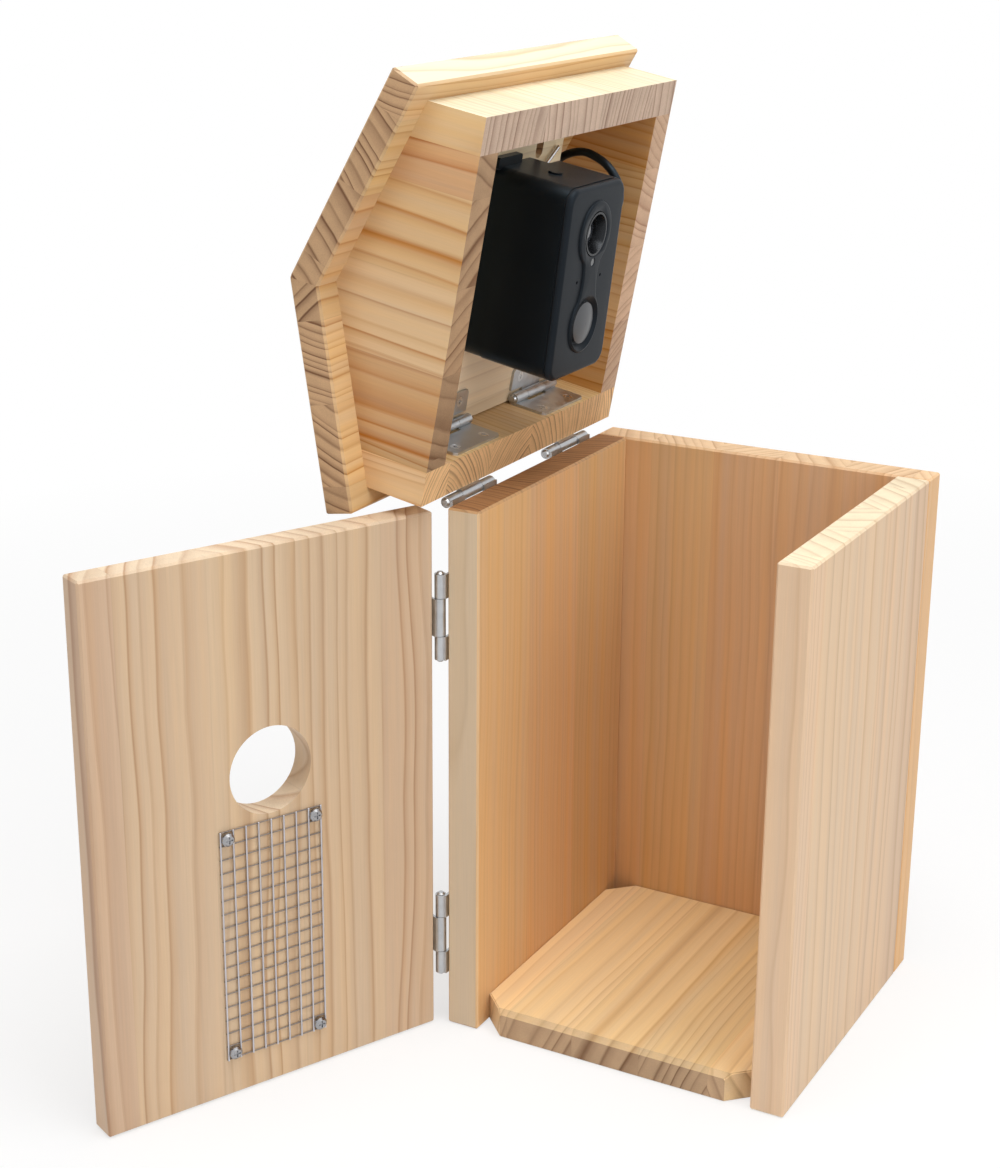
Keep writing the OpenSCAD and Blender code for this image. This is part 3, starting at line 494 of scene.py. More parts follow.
@dataclass(frozen=True)
class PineFinish:
    """Oiled pine, glued up from strips."""

    name: str
    seed: float
    strip: float = 0.036
    ring: float = 0.0046
    pith: float = 0.170
    lean: float = 0.95
    swing: float = 0.7
    wander: float = 0.7
    contrast: float = 0.5
    end_contrast: float = 1.0
    # How strongly painted shade darkens the outer strips, from 0 to 1
    heart: float = 0.0
    early: Colour = (0.67, 0.485, 0.320)
    late: Colour = (0.42, 0.235, 0.110)
    end_early: Colour = (0.54, 0.335, 0.180)
    end_late: Colour = (0.17, 0.075, 0.032)
    # Paler colours for the faces turned to the lit side: painted light
    painted_light_early: Colour = (0.86, 0.76, 0.55)
    painted_light_late: Colour = (0.70, 0.51, 0.30)

    def material(self, axes: BoardAxes, origin: Vector) -> bpy.types.Material:
        """Builds the material of one board.

        Args:
            axes: the board's directions.
            origin: the board's middle, in metres.

        Returns:
            The material.
        """
        material, desk, shader = new_material(self.name)
        place = desk.put("ShaderNodeTexCoord").outputs
        turned = {"Vector": place["Object"], "Location": tuple(origin), "Rotation": axes.turn()}
        local = desk.put("ShaderNodeMapping", turned, vector_type="TEXTURE").outputs[0]
        facing = desk.vector("DOT_PRODUCT", place["Normal"], tuple(axes.grain)).outputs["Value"]
        # Faces turned to the lit side blend into the paler colours: painted light
        lit_side_turn = desk.vector("DOT_PRODUCT", place["Normal"], tuple(axes.painted_light_side)).outputs["Value"]
        painted_light_share = desk.span(lit_side_turn, *PAINTED_LIGHT_SPAN)
        outputs = place_group(desk, Group.RINGS, {
            "Vector": local, "End": desk.span(desk.math("ABSOLUTE", facing), *END_SPAN),
            "Seed": self.seed, "Strip": self.strip, "Ring": self.ring, "Pith": self.pith,
            "Lean": self.lean, "Swing": self.swing, "Wander": self.wander,
            "Contrast": self.contrast, "End Contrast": self.end_contrast, "Painted Edge Shade": self.heart,
            "Early": desk.blend(painted_light_share, self.early, self.painted_light_early),
            "Late": desk.blend(painted_light_share, self.late, self.painted_light_late),
            "End Early": self.end_early, "End Late": self.end_late,
        })
        wire_surface(desk, shader, outputs, WOOD_RELIEF)
        shader.inputs["Specular IOR Level"].default_value = WOOD_SPECULAR
        return material


@dataclass(frozen=True)
class SteelFinish:
    """Plated or bare steel with rolled lines along the piece's Z."""

    name: str
    tone: Colour
    gloss: float
    wear: float
    depth: float = 0.004 * MM

    def material(self) -> bpy.types.Material:
        """Builds the material.

        Returns:
            The material.
        """
        material, desk, shader = new_material(self.name)
        outputs = place_group(desk, Group.BRUSH, {
            "Vector": desk.put("ShaderNodeTexCoord").outputs["Object"],
            "Tone": self.tone, "Gloss": self.gloss, "Wear": self.wear})
        wire_surface(desk, shader, outputs, self.depth)
        shader.inputs["Metallic"].default_value = 1.0
        return material


@dataclass(frozen=True)
class MouldedFinish:
    """Plastic, rubber or lacquer with a fine moulded grain."""

    name: str
    tone: Colour
    gloss: float
    grain: float = 2400.0
    depth: float = 0.02 * MM
    shift: float = 0.25
    coat: float = 0.0
    metallic: float = 0.0
    specular: float = 0.5
    sheen_tint: Colour = (1.0, 1.0, 1.0)
    velvet: float = 0.0
    coat_rough: float = 0.08

    def material(self) -> bpy.types.Material:
        """Builds the material.

        Returns:
            The material.
        """
        material, desk, shader = new_material(self.name)
        outputs = place_group(desk, Group.FLECK, {
            "Vector": desk.put("ShaderNodeTexCoord").outputs["Object"], "Grain": self.grain,
            "Tone": self.tone, "Shift": self.shift, "Gloss": self.gloss})
        wire_surface(desk, shader, outputs, self.depth)
        for label, value in {
            "Metallic": self.metallic, "Coat Weight": self.coat, "Coat Roughness": self.coat_rough,
            "Specular IOR Level": self.specular, "Specular Tint": self.sheen_tint,
            "Sheen Weight": self.velvet, "Sheen Tint": self.sheen_tint,
        }.items():
            desk.feed(shader.inputs[label], value)
        return material


@dataclass(frozen=True)
class LensFinish:
    """Coated glass over a dark barrel."""

    name: str
    tone: Colour
    gloss: float = 0.03
    grain: float = 900.0
    shift: float = 0.3
    ior: float = 1.6
    coat_rough: float = 0.02

    def material(self) -> bpy.types.Material:
        """Builds the material.

        Returns:
            The material.
        """
        material, desk, shader = new_material(self.name)
        outputs = place_group(desk, Group.FLECK, {
            "Vector": desk.put("ShaderNodeTexCoord").outputs["Object"], "Grain": self.grain,
            "Tone": self.tone, "Shift": self.shift})
        for label, value in {
            "Base Color": outputs["Color"], "Roughness": self.gloss, "IOR": self.ior,
            "Coat Weight": 1.0, "Coat Roughness": self.coat_rough,
        }.items():
            desk.feed(shader.inputs[label], value)
        return material


COOL: Colour = (0.60, 0.82, 1.0)
STEEL = SteelFinish("hinge_steel_rolled", (0.49, 0.50, 0.51), 0.30, 0.4)
SCREW_STEEL = SteelFinish("screw_steel_bright", (0.66, 0.665, 0.67), 0.24, 0.3)
PAN_STEEL = SteelFinish("screw_steel_dark", (0.36, 0.36, 0.37), 0.20, 0.3)
MESH_STEEL = SteelFinish("mesh_steel_galvanised", (0.58, 0.58, 0.63), 0.36, 0.4)
# A darker, browner copy of the mesh steel for the rungs: painted shade under the uprights
SHADED_RUNG_STEEL = SteelFinish("mesh_steel_rungs_painted_shade", (0.24, 0.21, 0.19), 0.40, 0.5)
WIRE_STEEL = SteelFinish("catch_wire_bright", (0.68, 0.685, 0.69), 0.18, 0.2)
SHELL_BLACK = MouldedFinish(
    "camera_shell_black", (0.0008, 0.0012, 0.0018), 0.33, specular=0.22, sheen_tint=COOL, velvet=0.08)
FACE_BLACK = MouldedFinish(
    "camera_face_satin", (0.0125, 0.0150, 0.0185), 0.38, depth=0.006 * MM, specular=0.09,
    sheen_tint=COOL)
SEAL_BLACK = MouldedFinish("seal_black", (0.003, 0.003, 0.003), 0.6, specular=0.2)
LEAD_BLACK = MouldedFinish(
    "lead_black", (0.006, 0.006, 0.0065), 0.42, grain=1500.0, specular=0.3, sheen_tint=COOL)
BOARD_GREEN = MouldedFinish("circuit_green", (0.02, 0.16, 0.06), 0.3, grain=700.0)
BARREL_BLACK = MouldedFinish("barrel_black", (0.008, 0.008, 0.009), 0.35, metallic=0.6)
RING_DARK = MouldedFinish(
    "lens_ring_dark", (0.022, 0.024, 0.027), 0.26, metallic=0.7, depth=0.003 * MM)
WINDOW_GREY = MouldedFinish(
    "window_smoked", (0.065, 0.069, 0.075), 0.34, depth=0.001 * MM, shift=0.12, coat=0.08,
    specular=0.3)
SENSOR_GREY = MouldedFinish("sensor_grey", (0.13, 0.135, 0.14), 0.2, depth=0.002 * MM)
FOIL = MouldedFinish("cell_foil", (0.55, 0.56, 0.58), 0.3, grain=400.0, metallic=1.0)
GLASS_DARK = LensFinish("lens_glass_coated", (0.012, 0.014, 0.020))


# Mesh building


def mesh_piece(
    name: str, points: Sequence[Vector], faces: Sequence[Sequence[int]], smooth: bool = True
) -> bpy.types.Object:
    """Makes an object from points in the shared frame, with its faces turned outwards.

    Args:
        name: the object's name.
        points: its vertices in metres.
        faces: its faces.
        smooth: whether it is shaded smooth, with sharp edges kept.

    Returns:
        The linked object.
    """
    mesh = bpy.data.meshes.new(name)
    mesh.from_pydata([tuple(p) for p in points], [], [tuple(f) for f in faces])
    shape = bmesh.new()
    shape.from_mesh(mesh)
    bmesh.ops.recalc_face_normals(shape, faces=shape.faces)
    shape.to_mesh(mesh)
    shape.free()
    piece = bpy.data.objects.new(name, mesh)
    bpy.context.scene.collection.objects.link(piece)
    if smooth:
        mesh.shade_smooth()
        mesh.set_sharp_from_angle(angle=SMOOTH_BELOW)
    return piece


def loft(sections: Sequence[Sequence[Vector]]) -> Skin:
    """Joins closed outlines of equal length into one skin, capped at both ends.

    Args:
        sections: outlines in order.

    Returns:
        Points and faces.
    """
    count = len(sections[0])
    points = [p for section in sections for p in section]
    faces = [
        [row * count + k, row * count + (k + 1) % count,
         (row + 1) * count + (k + 1) % count, (row + 1) * count + k]
        for row in range(len(sections) - 1) for k in range(count)
    ]
    faces.append(list(range(count))[::-1])
    faces.append([(len(sections) - 1) * count + k for k in range(count)])
    return points, faces


def rounded_outline(length: float, width: float, radius: float, steps: int = 10) -> list[Point2]:
    """Returns the points of a rectangle with round corners about the origin.

    Args:
        length: size along x.
        width: size along y.
        radius: corner radius.
        steps: points in each corner.

    Returns:
        The outline, anticlockwise.
    """
    points = []
    for quarter, (sx, sy) in enumerate(((1, 1), (-1, 1), (-1, -1), (1, -1))):
        for k in range(steps + 1):
            turn = math.radians(90 * (quarter + k / steps))
            points.append((sx * (length / 2 - radius) + radius * math.cos(turn),
                           sy * (width / 2 - radius) + radius * math.sin(turn)))
    return points


def circle_outline(centre: Point2, radius: float, steps: int = 64) -> list[Point2]:
    """Returns the points of a circle, anticlockwise."""
    turns = (2 * math.pi * k / steps for k in range(steps))
    return [(centre[0] + radius * math.cos(t), centre[1] + radius * math.sin(t)) for t in turns]


def boolean(piece: bpy.types.Object, tool: bpy.types.Object, operation: str) -> None:
    """Joins or cuts a piece with a tool, and removes the tool.

    Args:
        piece: what is changed.
        tool: what it is joined or cut with.
        operation: UNION or DIFFERENCE.
    """
    modifier = piece.modifiers.new("shape", "BOOLEAN")
    modifier.operation = operation
    modifier.object = tool
    modifier.solver = "EXACT"
    bpy.context.view_layer.update()
    shaped = piece.evaluated_get(bpy.context.evaluated_depsgraph_get())
    result = bpy.data.meshes.new_from_object(shaped)
    piece.modifiers.clear()
    piece.data = result
    bpy.data.objects.remove(tool)


def tube(path: Sequence[Vector], radius: Callable[[int], float], sides: int) -> Skin:
    """Sweeps a round section along points without twist.

    Args:
        path: points along the middle.
        radius: gives the radius at a point's number.
        sides: points around.

    Returns:
        Points and faces of the closed tube.
    """
    up = (path[1] - path[0]).orthogonal().normalized()
    turns = [2 * math.pi * k / sides for k in range(sides)]
    rings = []
    for i, centre in enumerate(path):
        along = (path[min(i + 1, len(path) - 1)] - path[max(i - 1, 0)]).normalized()
        up = (up - along * up.dot(along)).normalized()
        across = along.cross(up)
        rings.append([centre + radius(i) * (math.cos(t) * up + math.sin(t) * across) for t in turns])
    return loft(rings)


def wire_mesh(name: str, wires: Sequence[tuple[Vector, Vector, float]]) -> bpy.types.Object:
    """Makes one object from straight round wires with eased ends.

    Args:
        name: the object's name.
        wires: start, end and radius of each.

    Returns:
        The linked object.
    """
    points: list[Vector] = []
    faces: list[list[int]] = []
    for start, end, radius in wires:
        cap = (end - start).normalized() * radius * WIRE_CAP_LENGTH
        widths = [radius * WIRE_CAP_WIDTH, radius, radius, radius * WIRE_CAP_WIDTH]
        more, skin = tube([start, start + cap, end - cap, end], widths.__getitem__, WIRE_SIDES)
        faces += [[len(points) + k for k in face] for face in skin]
        points += more
    return mesh_piece(name, points, faces)


# Places


@dataclass(frozen=True)
class DoorSpace:
    """The open door's own directions: along its width, through it to the inside, and up."""

    axis: Vector = Vector((-83.2, -78.0, 0.0)) * MM
    open_angle: float = math.radians(115.1)
    offset: float = 3.2
    half_gap: float = 0.5
    thickness: float = 12.5
    lift: float = 0.4

    @property
    def along(self) -> Vector:
        """Direction from the hinges to the free edge."""
        return Vector((math.cos(self.open_angle), -math.sin(self.open_angle), 0.0))

    @property
    def inward(self) -> Vector:
        """Direction of the inner face."""
        return Vector((math.sin(self.open_angle), math.cos(self.open_angle), 0.0))

    def at(self, u: float, n: float, z: float) -> Vector:
        """Finds a point of the door in the shared frame.

        Args:
            u: millimetres from the hinge edge.
            n: millimetres from the outer face.
            z: millimetres from the lower edge.

        Returns:
            The point in metres.
        """
        across = self.along * (self.offset + u)
        through = self.inward * (n - self.half_gap - self.thickness)
        return self.axis + (across + through + Vector((0, 0, self.lift + z))) * MM


@dataclass(frozen=True)
class RoofSpace:
    """The open roof's own directions: across from its hinges, to the back, and up to its ridge."""

    axis: Vector = Vector((-83.2, -93.5, 240.5)) * MM
    open_angle: float = math.radians(79.3)
    offset: float = 3.2
    half_gap: float = 0.5
    pitch: float = math.radians(19.6)

    @property
    def across(self) -> Vector:
        """Direction from the hinges to the free side."""
        return Vector((math.cos(self.open_angle), 0.0, math.sin(self.open_angle)))

    @property
    def up(self) -> Vector:
        """Direction from the opening to the ridge."""
        return Vector((-math.sin(self.open_angle), 0.0, math.cos(self.open_angle)))

    def at(self, a: float, y: float, b: float) -> Vector:
        """Returns a point in the shared frame from millimetres along the roof's directions."""
        place = self.across * (a + self.offset) + self.up * (b + self.half_gap)
        return self.axis + (place + Vector((0, y, 0))) * MM

    def slope(self, side: int) -> Vector:
        """Returns the way up a roof board: side is 1 on the hinge side, -1 on the free side."""
        return self.across * (side * math.cos(self.pitch)) + self.up * math.sin(self.pitch)


@dataclass(frozen=True)
class CameraSpace:
    """The camera's own directions: along it, to the front of the box, and out from the hatch."""

    roof: RoofSpace = RoofSpace()
    a: float = 89.2
    y: float = 76.0
    b: float = 21.5
    depth: float = 41.4
    tilt: float = math.radians(3.5)

    def at(self, x: float, y: float, z: float) -> Vector:
        """Returns a point in the shared frame from millimetres along the camera's directions."""
        return self.roof.at(self.a + x, self.y - y, self.b - z)

    def on_face(self, x: float, y: float, z: float) -> Vector:
        """Returns a point in the shared frame from millimetres on the sloping lens face."""
        cos, sin = math.cos(self.tilt), math.sin(self.tilt)
        return self.at(x * cos + z * sin, y, self.depth - x * sin + z * cos)


DOOR = DoorSpace()
ROOF = RoofSpace()
CAMERA = CameraSpace()


# Sub-assemblies


@dataclass
class Workshop:
    """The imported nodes, and the materials that are laid on them."""

    nodes: dict[str, bpy.types.Object]
    made: dict[str, bpy.types.Material] = field(default_factory=dict)

    def dress(self, node: str, material: bpy.types.Material) -> None:
        """Gives a CAD node one material.

        Args:
            node: the node's name.
            material: its material.
        """
        slots = self.nodes[node].data.materials
        slots.clear()
        slots.append(material)
        LOG.info("%s wears %s", node, material.name)

    def dress_board(self, node: str, finish: PineFinish, axes: BoardAxes) -> None:
        """Gives a CAD board its wood, with the rings measured from the board's own middle.

        Args:
            node: the board's name.
            finish: its wood.
            axes: its directions.
        """
        low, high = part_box(node)
        self.dress(node, finish.material(axes, (Vector(low) + Vector(high)) / 2))

    def dress_all(self, nodes: Iterable[str], finish: SteelFinish | MouldedFinish | LensFinish) -> None:
        """Gives several CAD nodes the same finish, built once.

        Args:
            nodes: their names.
            finish: the finish.
        """
        for node in nodes:
            self.dress(node, self.shared(finish))

    def shared(self, finish: SteelFinish | MouldedFinish | LensFinish) -> bpy.types.Material:
        """Returns the finish's material, and builds it the first time.

        Args:
            finish: the finish.

        Returns:
            Its material.
        """
        if finish.name not in self.made:
            self.made[finish.name] = finish.material()
        return self.made[finish.name]

    def add(
        self, piece: bpy.types.Object, body: Body, slot: str, material: bpy.types.Material,
        *replaced: str
    ) -> None:
        """Puts a new piece on its body.

        Args:
            piece: the object.
            body: what it rides on.
            slot: name of a material slot; not used.
            material: its material.
            replaced: CAD nodes that it stands for.
        """
        piece.data.materials.clear()
        piece.data.materials.append(material)
        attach(piece, body.value)
        if replaced:
            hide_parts(*replaced)
        LOG.info("%s rides on %s", piece.name, body.value)


X_AXIS, Y_AXIS, Z_AXIS = Vector((1, 0, 0)), Vector((0, 1, 0)), Vector((0, 0, 1))


@dataclass
class NestRoom:
    """The fixed box: back, two side walls and the floor."""

    # Darker, warmer pine for the boards seen from inside the box: painted shade
    shaded_inside_early: Colour = (0.71, 0.425, 0.215)
    shaded_inside_late: Colour = (0.46, 0.235, 0.095)
    outer: Colour = (0.73, 0.525, 0.340)
    drain_cut: float = 11.4
    front_bevel: float = 2.2
    ease: float = 0.5
    ease_above: float = math.radians(50)

    def build(self, shop: Workshop) -> None:
        """Dresses the boards and dowels, and lays the bevelled floor.

        Args:
            shop: where the nodes and materials are.
        """
        # The back and the left wall take the darker inside colours: painted shade
        inside = {"early": self.shaded_inside_early, "late": self.shaded_inside_late}
        boards = {
            "back_panel": (
                PineFinish("pine_back", 4.0, strip=0.031, ring=0.0048, contrast=0.4, **inside,
                           end_early=(0.80, 0.56, 0.34), end_late=(0.50, 0.28, 0.14)),
                BoardAxes(X_AXIS, Z_AXIS)),
            "left_wall": (
                # Its very dark end grain is painted shadow of the open roof on the wall's top
                PineFinish("pine_left_wall", 9.0, strip=0.046, ring=0.0027, pith=0.06, lean=0.7,
                           swing=2.0, contrast=0.35, **inside, end_early=(0.36, 0.17, 0.065),
                           end_late=(0.10, 0.040, 0.016), painted_light_early=(0.64, 0.49, 0.345),
                           painted_light_late=(0.48, 0.33, 0.20)),
                # Its front edge, facing -Y, takes the paler colours: painted light
                BoardAxes(Y_AXIS, Z_AXIS, -Y_AXIS)),
            "right_wall": (
                PineFinish("pine_right_wall", 15.0, ring=0.0058, contrast=0.55, early=self.outer,
                           end_early=(0.86, 0.73, 0.52), end_late=(0.60, 0.42, 0.25)),
                BoardAxes(Y_AXIS, Z_AXIS)),
            "box_dowels": (
                PineFinish("beech_dowels", 2.0, ring=0.001, contrast=0.3), BoardAxes(X_AXIS, Z_AXIS)),
        }
        for node, (finish, axes) in boards.items():
            shop.dress_board(node, finish, axes)
        floor_wood = PineFinish(
            "pine_floor", 21.0, strip=0.032, ring=0.0068, contrast=0.6, early=(0.86, 0.635, 0.345),
            late=(0.52, 0.30, 0.13), end_early=(0.50, 0.335, 0.20), end_late=(0.17, 0.08, 0.035))
        low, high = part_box("floor_board")
        wood = floor_wood.material(BoardAxes(X_AXIS, Y_AXIS), (Vector(low) + Vector(high)) / 2)
        shop.add(self.floor(low, high), Body.BOX, "floor_pine", wood, "floor_board")

    def floor(self, low: Sequence[float], high: Sequence[float]) -> bpy.types.Object:
        """Makes the floor: four cut corners, eased edges and a bevel along the front's top.

        Args:
            low: lowest corner of the CAD floor.
            high: highest corner of the CAD floor.

        Returns:
            The linked object.
        """
        cut, bevel = self.drain_cut * MM, self.front_bevel * MM
        (x0, y0, z0), (x1, y1, z1) = low, high

        def outline(front: float, level: float) -> list[Vector]:
            """Finds the eight corners at one level.

            Args:
                front: how far the front edge is moved in.
                level: height.

            Returns:
                The corners, anticlockwise.
            """
            side = cut - front
            return [Vector((x, y, level)) for x, y in (
                (x0 + side, y0 + front), (x1 - side, y0 + front), (x1, y0 + cut), (x1, y1 - cut),
                (x1 - cut, y1), (x0 + cut, y1), (x0, y1 - cut), (x0, y0 + cut))]

        skin = loft([outline(0.0, z0), outline(0.0, z1 - bevel), outline(bevel, z1)])
        piece = mesh_piece("floor_bevelled", *skin, smooth=False)
        shape = bmesh.new()
        shape.from_mesh(piece.data)
        sharp = [edge for edge in shape.edges if edge.calc_face_angle(0.0) > self.ease_above]
        bmesh.ops.bevel(shape, geom=sharp, offset=self.ease * MM, segments=2, affect="EDGES")
        shape.to_mesh(piece.data)
        shape.free()
        return piece


@dataclass
class Door:
    """The front door with its ladder mesh."""

    columns: int = 8
    rows: int = 17
    pitch_u: float = 5.9
    pitch_z: float = 6.1
    wire: float = 0.9
    corner_u: float = 56.95
    rung: float = 0.56
    corner_z: float = 16.8
    upright_share: float = 0.42

    def build(self, shop: Workshop) -> None:
        """Dresses the door and replaces the flat mesh by round wires.

        Args:
            shop: where the nodes and materials are.
        """
        finish = PineFinish(
            "pine_door", 32.918, strip=0.040, ring=0.0062, wander=1.1, contrast=0.90,
            early=(0.65, 0.465, 0.31), late=(0.42, 0.225, 0.115), end_early=(0.80, 0.64, 0.46),
            end_late=(0.48, 0.27, 0.15))
        shop.dress_board("front_door", finish, BoardAxes(DOOR.along, Z_AXIS))
        # The rungs take the darker copy of the mesh steel: painted shade
        for piece, steel in ((self.uprights(), MESH_STEEL), (self.rungs(), SHADED_RUNG_STEEL)):
            shop.add(piece, Body.DOOR, "mesh_steel", shop.shared(steel), "ladder_mesh")
        shop.dress_all(["mesh_screws"], PAN_STEEL)

    def uprights(self) -> bpy.types.Object:
        """Makes the ladder's upright wires, which lie over the rungs.

        Returns:
            The linked object.
        """
        high = self.corner_z + self.rows * self.pitch_z + self.wire
        level = DOOR.thickness + self.wire
        radius = self.wire * MM * self.upright_share
        places = [self.corner_u + self.wire / 2 + k * self.pitch_u for k in range(self.columns + 1)]
        return wire_mesh("ladder_uprights", [
            (DOOR.at(u, level, self.corner_z), DOOR.at(u, level, high), radius) for u in places])

    def rungs(self) -> bpy.types.Object:
        """Makes the ladder's rungs, welded to the uprights and lying on the wood.

        Returns:
            The linked object.
        """
        wide = self.corner_u + self.columns * self.pitch_u + self.wire
        level = DOOR.thickness + self.wire / 2
        radius = self.rung * MM / 2
        places = [self.corner_z + self.wire / 2 + k * self.pitch_z for k in range(self.rows + 1)]
        return wire_mesh("ladder_rungs", [
            (DOOR.at(self.corner_u, level, z), DOOR.at(wide, level, z), radius) for z in places])


@dataclass
class GableRoof:
    """The roof frame with its two boards."""

    early: Colour = (0.72, 0.480, 0.245)
    late: Colour = (0.48, 0.215, 0.060)

    def wood(self, name: str, seed: float, **changes: object) -> PineFinish:
        """Returns the roof's warm pine with some values of its own."""
        warm = {"early": self.early, "late": self.late, "contrast": 1.0, "wander": 1.0}
        return PineFinish(name, seed, **(warm | changes))

    def build(self, shop: Workshop) -> None:
        """Dresses each board along its own grain.

        Args:
            shop: where the nodes and materials are.
        """
        gable = BoardAxes(ROOF.across, ROOF.up)
        slab = {"strip": 0.034, "pith": 0.12, "end_contrast": 1.45}
        boards = {
            # Both gables take painted shade on their outer strips, for the shade of the roof boards
            "roof_front_gable": (
                self.wood("pine_front_gable", 45.0, ring=0.0078, heart=1.0,
                          early=(0.73, 0.505, 0.270), end_early=(0.47, 0.30, 0.17)),
                gable),
            "roof_rear_gable": (
                self.wood("pine_rear_gable", 52.0, ring=0.0054, heart=1.0, early=(0.70, 0.44, 0.21),
                          end_early=(0.66, 0.44, 0.29), end_late=(0.36, 0.18, 0.10)),
                gable),
            "roof_left_side": (
                self.wood("pine_left_side", 58.0, ring=0.0026, pith=0.05, lean=0.7, swing=1.6,
                          end_early=(0.80, 0.51, 0.255), end_late=(0.16, 0.070, 0.030)),
                BoardAxes(Y_AXIS, ROOF.up)),
            "roof_right_side": (
                self.wood("pine_right_side", 63.0, strip=0.050, lean=1.4, swing=0.2,
                          end_early=(0.61, 0.455, 0.345), end_late=(0.22, 0.11, 0.07)),
                # Its outer face takes the paler colours: painted light
                BoardAxes(Y_AXIS, ROOF.up, ROOF.across)),
            "roof_left_board": (
                self.wood("pine_left_board", 71.0, **slab), BoardAxes(ROOF.slope(1), Y_AXIS)),
            "roof_right_board": (
                self.wood("pine_right_board", 76.0, **slab),
                # Its eave edge takes the paler colours: painted light
                BoardAxes(ROOF.slope(-1), Y_AXIS, -ROOF.slope(-1))),
            "roof_dowels": (
                PineFinish("beech_roof_dowels", 3.0, ring=0.001, contrast=0.3),
                BoardAxes(Y_AXIS, ROOF.across)),
        }
        for node, (finish, axes) in boards.items():
            shop.dress_board(node, finish, axes)


@dataclass
class Ironwork:
    """Hinges, screws and the turn catch."""

    outer_hinges: tuple[str, ...] = (
        "door_hinge_upper", "door_hinge_lower", "roof_hinge_front", "roof_hinge_rear")
    hatch_hinges: tuple[str, ...] = ("hatch_hinge_front", "hatch_hinge_rear")

    def build(self, shop: Workshop) -> None:
        """Dresses every leaf, pin, screw and wire.

        Args:
            shop: where the nodes and materials are.
        """
        for hinge in self.outer_hinges:
            moving = "door_leaf" if hinge.startswith("door") else "roof_leaf"
            shop.dress_all([f"{hinge}_wall_leaf", f"{hinge}_{moving}", f"{hinge}_pin"], STEEL)
        for hinge in self.hatch_hinges:
            shop.dress_all([f"{hinge}_side_leaf", f"{hinge}_plate_leaf", f"{hinge}_pin"], STEEL)
        screws = [f"{place}_hinge_screws" for place in ("wall", "door", "roof", "hatch")]
        shop.dress_all([*screws, "camera_screws", "battery_screws"], SCREW_STEEL)
        shop.dress_all(["turn_catch"], WIRE_STEEL)


